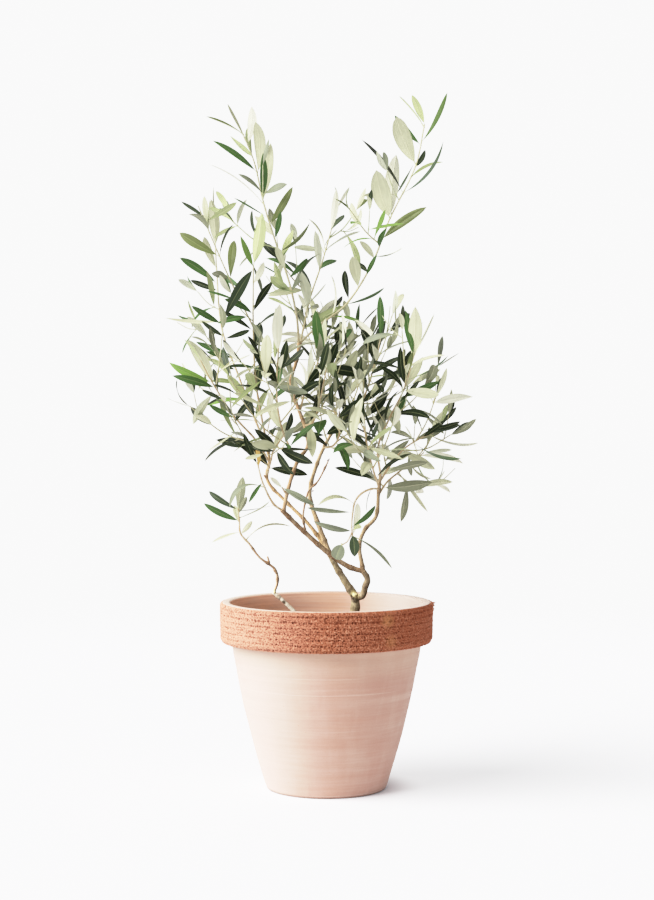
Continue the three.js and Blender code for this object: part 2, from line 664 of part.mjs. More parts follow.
function twigPiece(owner, { curve, radius, steps }) {
  return pieceOf(owner, (grow) => tubeAlong(curve, (u) => mix(...radius, u), TWIG.sides, steps, grow));
}

function leafPiece(owner, leaf) {
  return pieceOf(owner, (grow) => leafBlade(leaf, grow), leafBlade(leaf, 0, LEAF.rootShare));
}

// How far the tip of a leaf is from a stem.
function leafReach(stem, leaf) {
  const tip = leaf.point.clone().addScaledVector(leaf.heading, leaf.length);
  return Math.min(...stem.getSpacedPoints(TWIG.reachPoints).map((point) => point.distanceTo(tip)));
}

// The twigs and leaves that one mass would like to have.
function planOf(mass, limbs) {
  const random = seededRandom(mass.seed);
  const twigs = twigsOf(mass, limbs, random);
  for (const twig of twigs) twig.leaves = leavesOn(twig, random);
  return { mass, twigs, pieces: [] };
}

// Every mass as a plan with the pieces that it can have. The stems and forks stand first, then
// the dealt shoots, the placed leaves and the dealt leaves as far as they keep clear of the rest.
function growMasses(limbs) {
  const crown = new Crown(limbs);
  const plans = MASSES.map((mass) => planOf(mass, limbs));
  for (const plan of plans) {
    const named = plan.twigs.filter((twig) => !twig.isDealt);
    for (const twig of named) crown.stand(twigPiece(plan.mass.name, twig), plan);
  }
  for (const plan of plans) {
    const isIn = (twig) => !twig.isDealt || crown.takeIn(twigPiece(plan.mass.name, twig), plan);
    plan.twigs = plan.twigs.filter(isIn);
  }
  for (const isPlaced of [true, false]) {
    for (const plan of plans) {
      const isWithin = (leaf) => isPlaced || leafReach(plan.twigs[0].curve, leaf) < MASS_REACH;
      for (const leaf of plan.twigs.flatMap((twig) => twig.leaves)) {
        if (leaf.isPlaced === isPlaced && isWithin(leaf)) crown.takeIn(leafPiece(plan.mass.name, leaf), plan);
      }
    }
  }
  return plans;
}

// The twigs of a mass cut clear of the limbs, with every blade fused on that leaves the solid closed.
function fusedMass({ pieces }, limbs) {
  const twigs = pieces.filter((piece) => !piece.outer);
  let solid = twigs.map((piece) => piece.solid).reduce((a, b) => a.add(b));
  for (const limb of limbs.values()) solid = solid.subtract(limb.guard);
  for (const leaf of pieces.filter((piece) => piece.outer)) {
    const fused = solid.add(leaf.solid);
    if (isClosed(weldedFaces(fused).faces)) solid = fused;
  }
  return largestBody(solid);
}

const tree = new THREE.Group();
tree.name = 'potted_olive_tree';
tree.add(named('pot_body', turned(potProfile()), COLOURS.clay, 0.85));
tree.add(named('pot_band', turned(bandProfile()), COLOURS.band, 0.95));
tree.add(named('soil', turned(soilProfile()), COLOURS.soil, 1));
const limbs = growLimbs();
for (const [name, limb] of limbs) {
  tree.add(named(name, limb.geometry, name === 'trunk' ? COLOURS.bark : COLOURS.youngBark));
}
for (const plan of growMasses(limbs)) {
  tree.add(named(plan.mass.name, fusedMass(plan, limbs), COLOURS.leaf, 0.55));
}

export default tree;
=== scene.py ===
# A young olive tree in a hand-thrown terracotta pot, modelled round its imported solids.
# The tables are in millimetres, and MM turns them into metres. +Z is up, +X is to the viewer's
# right and -Y is towards the viewer. The origin is the centre of the pot's flat underside.
import math
from dataclasses import dataclass, field

import bpy
import numpy as np
from bpy.props import FloatProperty, FloatVectorProperty
from mathutils import Matrix, Vector, kdtree, noise
from mathutils.bvhtree import BVHTree


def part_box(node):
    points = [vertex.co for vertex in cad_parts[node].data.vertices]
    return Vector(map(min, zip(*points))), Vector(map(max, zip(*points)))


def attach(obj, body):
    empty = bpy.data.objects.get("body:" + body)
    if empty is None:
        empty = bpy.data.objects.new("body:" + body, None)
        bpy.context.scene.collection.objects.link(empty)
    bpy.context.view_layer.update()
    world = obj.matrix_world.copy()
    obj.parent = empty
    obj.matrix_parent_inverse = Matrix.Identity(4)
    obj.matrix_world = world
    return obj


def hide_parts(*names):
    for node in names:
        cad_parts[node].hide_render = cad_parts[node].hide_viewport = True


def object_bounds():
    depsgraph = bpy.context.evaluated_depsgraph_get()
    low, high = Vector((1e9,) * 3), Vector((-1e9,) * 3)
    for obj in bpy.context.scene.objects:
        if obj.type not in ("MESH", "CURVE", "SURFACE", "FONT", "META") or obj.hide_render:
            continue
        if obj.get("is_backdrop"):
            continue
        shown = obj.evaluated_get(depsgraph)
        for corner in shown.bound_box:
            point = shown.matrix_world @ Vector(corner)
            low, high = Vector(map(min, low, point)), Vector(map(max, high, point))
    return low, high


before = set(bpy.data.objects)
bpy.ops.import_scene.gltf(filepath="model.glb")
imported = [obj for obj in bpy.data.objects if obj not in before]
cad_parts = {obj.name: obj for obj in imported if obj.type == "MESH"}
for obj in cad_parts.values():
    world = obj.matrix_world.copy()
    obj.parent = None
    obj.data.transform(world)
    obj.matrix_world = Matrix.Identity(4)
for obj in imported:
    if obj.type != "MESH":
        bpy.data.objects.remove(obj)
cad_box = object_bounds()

bl_info = {
    "name": "Potted olive tree",
    "version": (1, 0, 0),
    "blender": (4, 5, 0),
    "location": "3D View > Sidebar > Olive",
    "description": "Models a young olive tree in a thrown clay pot round its packed solids",
    "category": "Object",
}

MM = 0.001
UP = Vector((0, 0, 1))
AWAY = Vector((0, 1, 0))

# The pot's own sizes, as the solids have them.
POT_HEIGHT = 210
FOOT_RADIUS = 67.5
FOOT_CHAMFER = 2.5
SHOULDER_RADIUS = 107
SWELL = 3.4
WALL = 9
NECK_WALL = 5.6
MOUTH_FLARE = 0.22
FLOOR = 13
FLOOR_CORNER = 6
LIP_RADIUS = 117.6
LIP_THICKNESS = 3.4
LIP_ROUND = 1.2
MOUTH_ROUND = 4
LIP_SHOWN = 0.6
BAND_HEIGHT = 45
BAND_RADIUS = 120
BAND_CORNER = 5
BAND_DRAUGHT = 0.6
BAND_TUCK = 8
BAND_FOOT = POT_HEIGHT - BAND_HEIGHT
SOIL_TOP = POT_HEIGHT - 30
GAP = 0.3

# How finely the turned pieces are cut: steps round the axis, and millimetres between rows.
POT_STEPS = 192
POT_ROW = 2.2
MOUTH_ROW = 1.2
BAND_STEPS = 1080
BAND_ROW = 0.7
SOIL_STEPS = 220
SOIL_ROW = 1.4

# How far the rows run on behind the band, and in the mouth below the soil's top.
ROWS_BEHIND_BAND = 4
ROWS_BELOW_SOIL = 6

# The rings from the wheel: about how tall one is, then how tall and how strong the finer ones are.
# In the mouth they are this much deeper, and are taken from another height of the noise.
RING_LENGTH = 7.3
FINE_RING_LENGTH = 2.9
FINE_RING_SHARE = 0.45
MOUTH_RINGS = 1.8
MOUTH_RINGS_SHIFT = 40

# How large the wall's strays from a true circle are, then how deep and how large its dimples are.
STRAY_SIZE = (70, 70, 40)
DIMPLE_DEPTH = 0.1
DIMPLE_SIZE = (9, 9, 2.5)

# How far out the rounding of the foot is set, and how the lip's lower edge is cut under.
FOOT_ROUND_OUT = 0.4
LIP_UNDERCUT = (1, 0.6)

# How the band's edges are worn round: how far in its foot and its edges are drawn, how tall each
# edge is, and how far up its draught goes. Then its last row, its flat top and its hidden side.
BAND_FOOT_IN = 1
BAND_EDGE_IN = 0.9
BAND_TOP_EDGE = 4
BAND_LOW_EDGE = 3
BAND_DRAUGHT_HEIGHT = 30
BAND_LAST_ROW = 1.2
BAND_TOP_IN = (1.7, 3)
BAND_INSET = 2
BAND_BACK_GAP = 0.5

# Rows of pits that a comb left in the band: the millimetres between rows and between pits, how
# large a pit is round the band and up it, how far it strays from its row and its row from level,
# and how strong every other row is. Then the ranges of a pit's place, size and depth, how tall the
# coarser top of the band is and how much coarser, and at which share of a row the first one is.
PIT_ROW = 3.1
PIT_STEP = 2.5
PIT_SIZE = (0.82, 1.0)
PIT_SPREAD = 0.6
PIT_DRIFT = 0.7
PIT_STRENGTHS = (1.55, 0.85)
PIT_PLACES = (0.1, 0.9)
PIT_SIZES = (0.6, 1.3)
PIT_DEPTHS = (0.25, 1)
ROUGH_TOP = 14
COARSER_TOP = 0.7
FIRST_ROW = 0.7

# The band's relief: how strong tears, finer ones, lumps and crumbs are, how high and how large
# crumbs are, how deep the comb pressed and how much that varies. Then what counts as level, and how
# far places are shifted up and down.
TEAR = 0.45
FINE_TEAR = 0.7
LUMP = 0.12
CRUMB = 0.6
CRUMB_LEVEL = 0.62
CRUMB_SIZE = (2.2, 2.2, 1.8)
COMB_DEPTH = 0.09
COMB_SPREAD = 0.22
RELIEF_LEVEL = 0.1
RELIEF_SHIFT = 0.4

# Crumbs of torn clay at the band's top edge: round the band in degrees, and how wide they spread.
RAGGED_EDGE = (-3, 7)
RAGGED_HEIGHT = 14
RAGGED_DEPTH = 5.5

# Stains on the band: the middle of each, its radius and how strong it is.
LIME_STAINS = [((66, -100, 199), 12, 0.5), ((70, -97, 176), 11, 0.36)]

# Fixed colours in the pot's materials. The others are settings.
RUST = (0.52, 0.24, 0.15)
SHOULDER_CLAY = (0.56, 0.40, 0.29)
SPECK = (0.42, 0.17, 0.08)
FOOT_DARKENING = (0.20, 0.11, 0.075)
# Painted bounce light: the brighter orange laid on the pot's shaded left inside wall.
BOUNCE_ORANGE = (0.84, 0.40, 0.25)
MOUTH_STAIN = (0.66, 0.47, 0.36)
BAND_CLOUD = (0.46, 0.19, 0.11)
LIME_STAIN = (0.46, 0.20, 0.075)

# The soil: its colours, its level under the lumps, and how wide its smooth edge is. Then the lumps,
# each as a height, a level in the noise and a size, and the mounds round the stems, each as a
# share, a middle and a spread.
SOIL_DARK = (0.020, 0.013, 0.009)
SOIL_LIGHT = (0.085, 0.055, 0.035)
SOIL_FIBRE = (0.22, 0.15, 0.09)
SOIL_LEVEL = SOIL_TOP - 0.3
SOIL_EDGE = 4
SOIL_LUMPS = [(1.1, 0, 13), (0.9, 3, 4.5), (0.5, 7, 2)]
SOIL_MOUNDS = [(1, 30, 0, 900), (0.6, -16, -12, 300)]
MOUND_HEIGHT = 1.6


@dataclass
class Bits:
    """Bits that lie on the soil: how many, how long, and how wide and thick for their length."""
    name: str
    seed: int
    count: int
    lengths: tuple
    shares: tuple
    dark: tuple
    light: tuple


BITS = [
    Bits("bark_crumbs", 11, 260, (2.2, 6.5), (0.45, 0.3), (0.05, 0.025, 0.012), (0.22, 0.11, 0.055)),
    Bits("grit", 12, 220, (1.2, 2.6), (0.85, 0.7), (0.30, 0.27, 0.22), (0.62, 0.58, 0.50)),
]
BIT_ROUGHNESS = 0.35
BIT_TILT = 0.5
BIT_THICKNESS = (0.6, 1)
BIT_RAISED = 0.22


@dataclass
class Limb:
    """A woody limb that leaves `limb` at the share `at` of its length and runs through `via`."""
    name: str
    limb: str
    at: float
    radius: tuple
    bark: tuple
    via: list
    flare: float = 0
    knob: float = 0


LIMBS = [
    Limb("trunk", None, 0, (5.8, 2.9), (0.27, 0.215, 0.12), flare=2.4,
         via=[(30, 0, SOIL_TOP), (32, 0, 214), (23, 0, 229), (7, 0, 256), (3, 0, 265)]),
    Limb("leader", "trunk", 1, (2.9, 1.7), (0.40, 0.28, 0.155),
         via=[(-11, 6, 301), (-19, 12, 330), (-9, 18, 369), (4, 18, 396), (13, 15, 409)]),
    Limb("left_bough", "trunk", 0.97, (2.2, 1.6), (0.46, 0.29, 0.14),
         via=[(-19, 6, 295), (-44, 12, 320), (-67, 16, 346), (-65, 18, 369), (-68, 20, 388)]),
    Limb("right_foot", "trunk", 0.37, (3.8, 3.3), (0.27, 0.20, 0.12),
         via=[(40, -4, 216), (44, -8, 228), (46, -10, 236), (41, -12, 245)]),
    Limb("crossing_bough", "right_foot", 0.99, (2.9, 2.5), (0.26, 0.15, 0.08),
         via=[(25, -14, 250), (3, -18, 265), (-28, -26, 293), (-50, -35, 315)]),
    Limb("right_bough", "right_foot", 0.99, (2.4, 1.9), (0.36, 0.25, 0.14),
         via=[(37, -14, 275), (43, -17, 292), (55, -20, 306), (58, -24, 332), (60, -26, 354)]),
    Limb("middle_bough", "crossing_bough", 0.97, (2.2, 1.9), (0.36, 0.22, 0.12), knob=1.3,
         via=[(-44, -32, 332), (-32, -20, 369), (-21, -12, 385), (-23, -8, 403), (-33, -4, 431),
              (-40, 0, 456), (-34, 0, 480), (-30, 0, 501)]),
    Limb("bare_twig", "crossing_bough", 0.66, (1.2, 0.9), (0.32, 0.19, 0.11),
         via=[(-26, -31, 306), (-23, -33, 325), (-19, -36, 337), (-10, -38, 346), (2, -42, 369)]),
    Limb("side_stem", None, 0, (2.0, 1.2), (0.42, 0.26, 0.15), flare=0.6,
         via=[(-16, -12, SOIL_TOP), (-49, -12, 212), (-58, -12, 220), (-55, -13, 232), (-57, -14, 246),
              (-75, -18, 261), (-86, -20, 276)]),
]

# Stubs of cut twigs and old calluses: where each starts and ends, its two radii and its tone.
CALLUS = (0.62, 0.52, 0.24)
DEAD_WOOD = (0.95, 0.86, 0.69)
# The hollow tone is painted shade: a near-black tone on two short stubs, standing for the shadow inside a
# hole in the wood.
HOLLOW_SHADE = (0.05, 0.03, 0.018)
STUBS = [
    ((32, -3, 210), (32.4, -5.8, 219), 3.0, 2.5, CALLUS),
    ((31, -3, 214.5), (28.9, -6.6, 213.6), 1.4, 1.2, HOLLOW_SHADE),
    ((-47, -12, 209), (-48.6, -14.4, 210.4), 1.3, 1.1, HOLLOW_SHADE),
    ((-20, -12, 184), (-52, -12, 215), 2.3, 2.1, DEAD_WOOD),
    ((-52, -12, 215), (-60, -12, 221), 2.2, 2.1, DEAD_WOOD),
    ((-57, -12, 219), (-58.5, -13, 222), 1.9, 1.5, CALLUS),
    ((-56, -14, 243), (-59, -15, 247), 1.9, 1.5, (0.34, 0.20, 0.11)),
    ((-64, -15, 254), (-66, -16, 262), 1.3, 1.0, (0.40, 0.24, 0.13)),
    ((-67, 16, 346), (-71, 14, 352), 1.4, 0.9, (0.40, 0.24, 0.13)),
]

# Resting buds: where each sits on the wood, and which way it points.
BUDS = [
    ((-55, -37, 318), (-1, -0.3, 0.8)),
    ((2, -42, 369), (0.4, -0.1, 1)),
    ((2.6, -42, 368), (-0.6, 0.2, 0.9)),
    ((-33, -21, 370), (-1, -0.2, 0.6)),
    ((-19, -12, 388), (1, -0.3, 0.7)),
    ((56, -22, 318), (1, -0.4, 0.5)),
    ((-57.5, -14, 246), (-1, -0.3, 0.6)),
    ((-17, 11, 333), (1, -0.5, 0.6)),
    ((-66, 15, 370), (-1, -0.2, 0.8)),
]

# A bud: how wide its middle is, how fast it narrows, how tall and how far raised it is, how large
# the whole is and how far out of the wood it starts.
BUD_WIDTH = 0.62
BUD_TAPER = 0.3
BUD_HEIGHT = 1.1
BUD_RAISED = 0.8
BUD_SIZE = 1.15
BUD_OUT = 1.2

# How a limb flares at its foot, swells at its nodes and is cut into rings.
LIMB_FLARE_HEIGHT = 14
LIMB_KNOB_LENGTH = 9
NODE_EVERY = 23
NODE_STAGGER = 0.37
NODE_LENGTH = 2.8
NODE_SWELL = 0.55
LIMB_RING = 1.5
FOOT_IN_SOIL = 5
FOOT_SPREAD = 0.6
STEM_SIDES = 12
BARK_VOXEL = 0.5

# A stub's rings, where its end starts to round off and how small that gets. Then how finely its
# tone is laid down, and from what share of its length, so that what it grows from keeps its own.
STUB_RINGS = 4
STUB_END = 0.93
STUB_END_RADIUS = 0.8
STUB_STEP = 0.45
STUB_TONE_FROM = 0.5
CALLUS_TONE_FROM = 0.72

# The bark's furrows, finer ones and lumps: how deep and how large, where a limb is this thick. Then
# how many samples its tone is the mean of.
FURROW_DEPTH = 0.26
FURROW_SIZE = (1.5, 1.5, 7)
FINE_FURROW = 0.6
FINE_FURROW_SIZE = (0.9, 0.9, 2.2)
BARK_LUMP = 0.34
BARK_LUMP_SIZE = (4.5, 4.5, 6)
FULL_WEAR_RADIUS = 3
TONE_SAMPLES = 5

# Bark is painted lighter on the side that faces the light and darker on the side that it turns from the
# light, as painted light and shade: which way that is, where along it the tones below hold, and the
# palest that any bark gets.
SHADY_WAY = Vector((0.86, 0.1, -0.5))
SHADY_PLACES = (-0.8, 0, 0.65)
SHADY_TONES = (1.95, 0.90, 0.26)
PALEST_BARK = (0.96, 0.93, 0.84)

# Fixed colours in the materials of bark and buds.
BARK_BLOOM = (0.62, 0.52, 0.34)
BARK_SHADE = (0.13, 0.072, 0.030)
BARK_RING = (0.075, 0.036, 0.018)
BARK_CRACK = (0.09, 0.052, 0.026)
BARK_PORE = (0.62, 0.52, 0.36)
BUD_DARK = (0.065, 0.022, 0.014)
BUD_LIGHT = (0.20, 0.085, 0.045)

# What the masses in the thick of the crown deal out: many dark leaves, painted shade for the crown's
# shaded inside, and pale ones among them.
CORE_TINTS = "ddddddsgvoccc"


@dataclass
class Fork:
    """A side twig from the share `at` of its stem to a tip that has a place of its own."""
    at: float
    to: tuple
    leaf: float
    step: float
    placed: list = field(default_factory=list)


@dataclass
class Mass:
    """A mass of foliage: one stem that leaves a limb, and the twigs and leaves that grow on it.

    `placed` are leaves that stand out: the share along the stem, which side shows, the tint and
    the tip, then where they differ the width and the arch as shares of the length, and how full
    the outline is. `extra` are more of them, which the solids leave out. `tints` are dealt out to
    the rest, and `finer` is how many twiglets each of its twigs tries to carry.
    """
    name: str
    seed: int
    limb: str
    at: float
    via: list
    shoots: int
    step: float
    leaf: float
    tints: str = CORE_TINTS
    finer: int = 1
    placed: list = field(default_factory=list)
    extra: list = field(default_factory=list)
    forks: list = field(default_factory=list)


MASSES = [
    Mass("foliage_top_right", 5, "middle_bough", 1, shoots=0, step=27, leaf=48, tints="gsolvcg",
         via=[(-11, 4, 519), (22, 10, 545), (52, 18, 592), (71, 26, 641), (102, 32, 705), (112, 35, 752)],
         placed=[
             (1, "underside", "l", 97, 29, 785), (0.99, "edge", "g", 83, 43, 786),
             (0.93, "edge", "l", 138, 30, 788), (0.92, "top", "g", 78, 44, 764),
             (0.84, "underside", "o", 79, 18, 758, 0.4), (0.83, "top", "s", 114, 54, 726),
             (0.72, "edge", "g", 133, 21, 731), (0.72, "edge", "d", 40, 35, 735),
             (0.61, "underside", "o", 56, 10, 697, 0.44), (0.62, "underside", "c", 80, 41, 719),
             (0.52, "top", "o", 114, 17, 656), (0.49, "top", "g", 68, -9, 630),
             (0.44, "underside", "o", 37, 1, 616), (0.45, "edge", "o", 87, 43, 612),
             (0.37, "top", "g", 57, 0, 601), (0.38, "top", "d", 33, 46, 596),
             (0.31, "underside", "o", 29, -1, 599, 0.4), (0.23, "edge", "g", 66, 4, 564),
             (0.25, "top", "d", 21, 35, 586),
         ],
         forks=[Fork(0.5, (28, -5, 648), 40, 15)]),
    Mass("foliage_top_left", 9, "middle_bough", 0.975, shoots=1, step=24, leaf=46, tints="gsovclvl",
         via=[(-33, -8, 527), (-41, -12, 566), (-58, -20, 617), (-70, -26, 656), (-80, -31, 700),
              (-92, -36, 730)],
         placed=[
             (1, "edge", "o", -133, -40, 749), (0.97, "edge", "c", -110, -23, 766),
             (0.95, "underside", "c", -83, -24, 763), (0.82, "top", "g", -126, -36, 723, 0.18),
             (0.81, "underside", "o", -78, -42, 743), (0.69, "top", "c", -62, -20, 723),
             (0.7, "top", "g", -70, -43, 709), (0.67, "edge", "c", -132, -8, 701),
             (0.58, "top", "o", -37, -32, 673), (0.61, "edge", "g", -103, -28, 661),
             (0.51, "top", "g", -50, -42, 645), (0.52, "underside", "o", -81, 0, 644),
             (0.45, "edge", "o", -18, -26, 634), (0.4, "top", "d", -73, 6, 616),
             (0.35, "underside", "o", -56, -34, 607), (0.32, "top", "g", -21, 5, 597),
         ]),
    Mass("foliage_top_middle", 14, "middle_bough", 0.95, shoots=2, step=22, leaf=50, tints="dgsvoc",
         via=[(-24, 15, 528), (-19, 25, 552), (-5, 38, 595), (8, 50, 643), (11, 52, 657)],
         forks=[Fork(0.4, (-50, -2, 590), 44, 20)]),
    Mass("foliage_left_inner", 21, "left_bough", 1, shoots=2, step=22, leaf=48, tints="ddsgglvoc",
         via=[(-74, 12, 420), (-80, 5, 460), (-82, -12, 521), (-81, -28, 586)],
         placed=[
             (1, "underside", "l", -71, -36, 644), (0.99, "top", "l", -95, -42, 618),
             (0.98, "top", "s", -112, -50, 527), (0.91, "top", "d", -36, -36, 630),
             (0.9, "underside", "c", -70, -5, 592), (0.74, "top", "d", -59, -37, 568),
             (0.73, "top", "g", -113, -41, 548),
         ],
         forks=[Fork(0.66, (-140, -60, 648), 46, 22)]),
    Mass("foliage_left_outer", 27, "left_bough", 0.93, shoots=1, step=21, leaf=46, tints="dggvol",
         via=[(-88, 42, 430), (-101, 50, 464), (-121, 62, 519), (-128, 75, 589), (-130, 78, 622)],
         placed=[
             (1, "edge", "c", -132, 82, 688, 0.14), (0.98, "underside", "o", -134, 64, 671),
             (0.88, "underside", "o", -142, 63, 627), (0.87, "top", "g", -100, 59, 568),
             (0.81, "top", "g", -171, 68, 603), (0.78, "top", "d", -160, 85, 578),
             (0.64, "edge", "c", -188, 68, 533), (0.63, "top", "g", -156, 47, 546),
             (0.57, "top", "s", -145, 52, 529), (0.56, "top", "s", -89, 74, 519),
             (0.48, "top", "g", -152, 60, 505), (0.47, "top", "g", -139, 36, 493),
             (0.41, "top", "s", -134, 42, 483),
         ]),
    Mass("foliage_left_low", 33, "left_bough", 0.86, shoots=2, step=20, leaf=46, tints="gdsdvoc",
         via=[(-80, 0, 392), (-103, -25, 419), (-129, -50, 462), (-138, -55, 480)],
         placed=[
             (0.8, "underside", "o", -152, -56, 503), (0.82, "top", "l", -174, -43, 478),
             (0.77, "top", "g", -169, -61, 463), (0.73, "top", "s", -126, -26, 472),
             (0.66, "top", "s", -138, -45, 448), (0.48, "top", "g", -132, -17, 432),
             (0.37, "edge", "c", -132, -23, 380),
         ]),
    Mass("foliage_left_spur", 38, "crossing_bough", 1, shoots=0, step=17, leaf=38, tints="dsg", finer=0,
         via=[(-58, -39, 321), (-70, -47, 345), (-76, -52, 368)],
         placed=[
             (0.53, "edge", "v", -107, -54, 318, 0.34, 0.27), (0.63, "top", "g", -85, -69, 324, 0.2),
             (0.96, "top", "d", -91, -57, 401), (0.95, "edge", "d", -106, -47, 392),
             (0.92, "top", "y", -77, -63, 388),
         ]),
    Mass("foliage_side_stem", 42, "side_stem", 1, shoots=0, step=12, leaf=40, tints="ggoc", finer=0,
         via=[(-96, -22, 288), (-97, -24, 300), (-98, -26, 316)],
         placed=[
             (0.12, "edge", "c", -40, -6, 295, 0.14, -0.16), (0.39, "edge", "c", -128, -28, 278),
             (0.34, "underside", "o", -82, -36, 303), (0.68, "top", "g", -137, -28, 322),
             (0.74, "edge", "g", -70, -41, 297), (0.96, "top", "s", -132, -16, 335),
             (0.86, "underside", "d", -88, -39, 330), (0.95, "underside", "d", -93, -26, 352, 0.34),
             (0.75, "edge", "d", -63, -17, 324, 0.24, -0.02), (0.9, "top", "c", -96, 12, 338),
             (0.6, "top", "c", -104, 8, 318),
         ]),
    Mass("foliage_low_front", 44, "middle_bough", 0.1, shoots=0, step=12, leaf=30, tints="go", finer=0,
         via=[(-47, -36, 336), (-49, -40, 340)],
         placed=[(1, "top", "v", -12, -46, 320), (0.9, "underside", "c", -62, -50, 352)]),
    Mass("foliage_low_left", 45, "left_bough", 0.76, shoots=3, step=20, leaf=48,
         via=[(-62, -14, 370), (-58, -46, 382), (-46, -76, 398)]),
    Mass("foliage_front_left", 47, "middle_bough", 0.3, shoots=4, step=21, leaf=52,
         via=[(-40, -34, 383), (-49, -55, 406), (-54, -72, 440), (-52, -84, 492)],
         placed=[(0.97, "underside", "c", -50, -92, 540)]),
    Mass("foliage_middle", 52, "middle_bough", 0.6, shoots=4, step=21, leaf=52,
         via=[(-22, 18, 455), (-10, 30, 480), (-4, 42, 520)]),
    Mass("foliage_leader", 58, "leader", 1, shoots=4, step=21, leaf=52,
         via=[(8, 32, 431), (4, 45, 455), (12, 60, 500)]),
    Mass("foliage_front", 60, "middle_bough", 0.52, shoots=4, step=21, leaf=52,
         via=[(-15, -34, 412), (-8, -56, 432), (0, -72, 470)],
         extra=[
             (1, "top", "g", -12, -78, 534), (1, "underside", "c", -4, -84, 513),
         ]),
    Mass("foliage_low_middle", 61, "leader", 0.8, shoots=3, step=20, leaf=50,
         via=[(8, -10, 386), (14, -34, 398), (14, -58, 424)]),
    Mass("foliage_right_inner", 63, "leader", 0.93, shoots=4, step=21, leaf=52,
         via=[(27, 5, 420), (41, -10, 438), (54, -28, 478), (60, -34, 505)],
         placed=[(1, "top", "g", 59, -40, 552)]),
    Mass("foliage_right", 69, "right_bough", 1, shoots=3, step=21, leaf=50,
         via=[(57, -38, 384), (69, -50, 416), (85, -62, 449), (95, -70, 484)],
         placed=[
             (0.97, "underside", "o", 96, -81, 538, 0.32), (1, "top", "g", 86, -62, 535),
             (0.99, "edge", "c", 118, -64, 531), (0.81, "edge", "g", 133, -68, 485),
             (0.77, "top", "d", 80, -79, 495), (0.74, "underside", "o", 106, -54, 484),
             (0.66, "top", "g", 124, -65, 457),
         ]),
    Mass("foliage_right_outer", 74, "right_bough", 0.93, shoots=3, step=19, leaf=50,
         via=[(74, -10, 367), (88, 5, 382), (106, 18, 393), (122, 26, 400)],
         placed=[
             (0.98, "top", "s", 153, 21, 409), (0.99, "underside", "o", 134, 38, 425),
             (0.94, "edge", "c", 174, 28, 388), (0.85, "top", "d", 136, 0, 415),
             (0.8, "underside", "c", 122, 14, 438), (0.71, "edge", "g", 152, -5, 371),
             (0.63, "edge", "g", 148, 29, 382), (0.52, "underside", "o", 122, -19, 359),
         ]),
    Mass("foliage_right_low", 80, "right_bough", 0.8, shoots=3, step=19, leaf=50,
         via=[(68, 0, 344), (84, 25, 356), (98, 42, 366), (112, 54, 376)],
         placed=[
             (0.89, "edge", "g", 127, 54, 338), (0.77, "edge", "c", 120, 26, 347),
             (0.54, "edge", "c", 115, 4, 310),
         ]),
    Mass("foliage_front_right", 85, "right_bough", 0.87, shoots=4, step=20, leaf=52,
         via=[(52, -44, 358), (47, -66, 376), (40, -84, 408)]),
    Mass("foliage_inner_twig", 91, "right_bough", 0.86, shoots=0, step=60, leaf=30, tints="gdo", finer=0,
         via=[(50, -33, 338), (40, -37, 334), (32, -38, 325), (29, -38, 311), (28, -38, 297),
              (29, -38, 285)],
         placed=[
             (0.52, "edge", "c", -10, -44, 320, 0.32, 0.18), (0.64, "top", "v", -22, -30, 317, 0.16),
             (0.91, "top", "v", -15, -46, 303, 0.24), (1, "edge", "v", 73, -42, 250, 0.17, -0.08),
             (0.98, "underside", "c", 34, -50, 324, 0.22), (0.97, "top", "s", 31, -56, 264, 0.6),
         ],
         extra=[(0.85, "top", "g", 55, -30, 320), (0.9, "underside", "l", 38, -60, 299)],
         forks=[Fork(0.93, (17, -42, 277), 18, 40,
                     placed=[(0.98, "top", "v", 10, -45, 260, 1.25, 0.05, 0.45)])]),
]

# How twigs grow, in millimetres, degrees and shares of a length, as the solids' own do.
STEM_RADIUS = (1.35, 0.7)
SIDE_RADIUS = (0.9, 0.55)
STEM_BARE = 0.16
FORK_BARE = 0.2
SHOOT_BARE = 0.26
FORK_SAG = 4
SHOOT_LENGTH = 74
SHOOT_SHORTENING = 0.35
SHOOT_LENGTH_SPREAD = 0.15
SHOOT_ANGLE = 42
SHOOT_ANGLE_SPREAD = 10
SHOOT_LIFT = 0.22
SHOOT_LEAF = 0.94
FIRST_SHOOT = 0.2
LAST_SHOOT = 0.78
SHOOT_SPREAD = 0.05
SHOOT_TURN = 137.5
SHOOT_TURN_SPREAD = 60
REACH_POINTS = 24
MASS_REACH = 110
TWIG_SIDES = 6

# The tubes that stand for limbs and twigs where growth looks for room: how many sides each has,
# about how long its steps are and how few of them may do.
LIMB_BODY = {"sides": 6, "step": 15, "fewest": 6}
TWIG_BODY = {"sides": 3, "step": 18, "fewest": 2}

# Where a twig is cut into rings, how far it wobbles, and how it swells at its pairs of leaves.
TWIG_RING = 3.2
TWIG_WOBBLE = 0.06
WOBBLE_LENGTH = 8
PAIR_SWELL = 0.16
PAIR_SWELL_LENGTH = 1.8
PAIR_MARGIN = 0.02

# What each of a mass's draws adds to its seed.
LOOKS_SEED = 2000
EXTRA_SEED = 4000
TWIGLET_SEED = 1000
TWIGLET_LOOKS_SEED = 3000

# How leaves stand on them.
ANGLE_AT_ROOT = 58
ANGLE_AT_TIP = 24
ANGLE_SPREAD = 12
FIRST_TURN = 30
TURN_SPREAD = 12
TWIST_SPREAD = 34
PLACED_SPREAD = 16
PLACED_SLIM = {"top": 0.64, "underside": 0.84, "edge": 0.7}
SHOWN_TURN = {"top": 0, "underside": 180, "edge": 78}
LENGTH_SPREAD = 0.16
SHORTEST_AT_TIP = 0.7
WIDTH_SHARE = 0.27
ROOT_SHARE = 0.22
THICKNESS_SHARE = 0.022
ARCH_SHARE = 0.05
ROOT_SUNK = 0.6
LAST_PAIR = 0.995
BESIDE_PLACED = 0.45

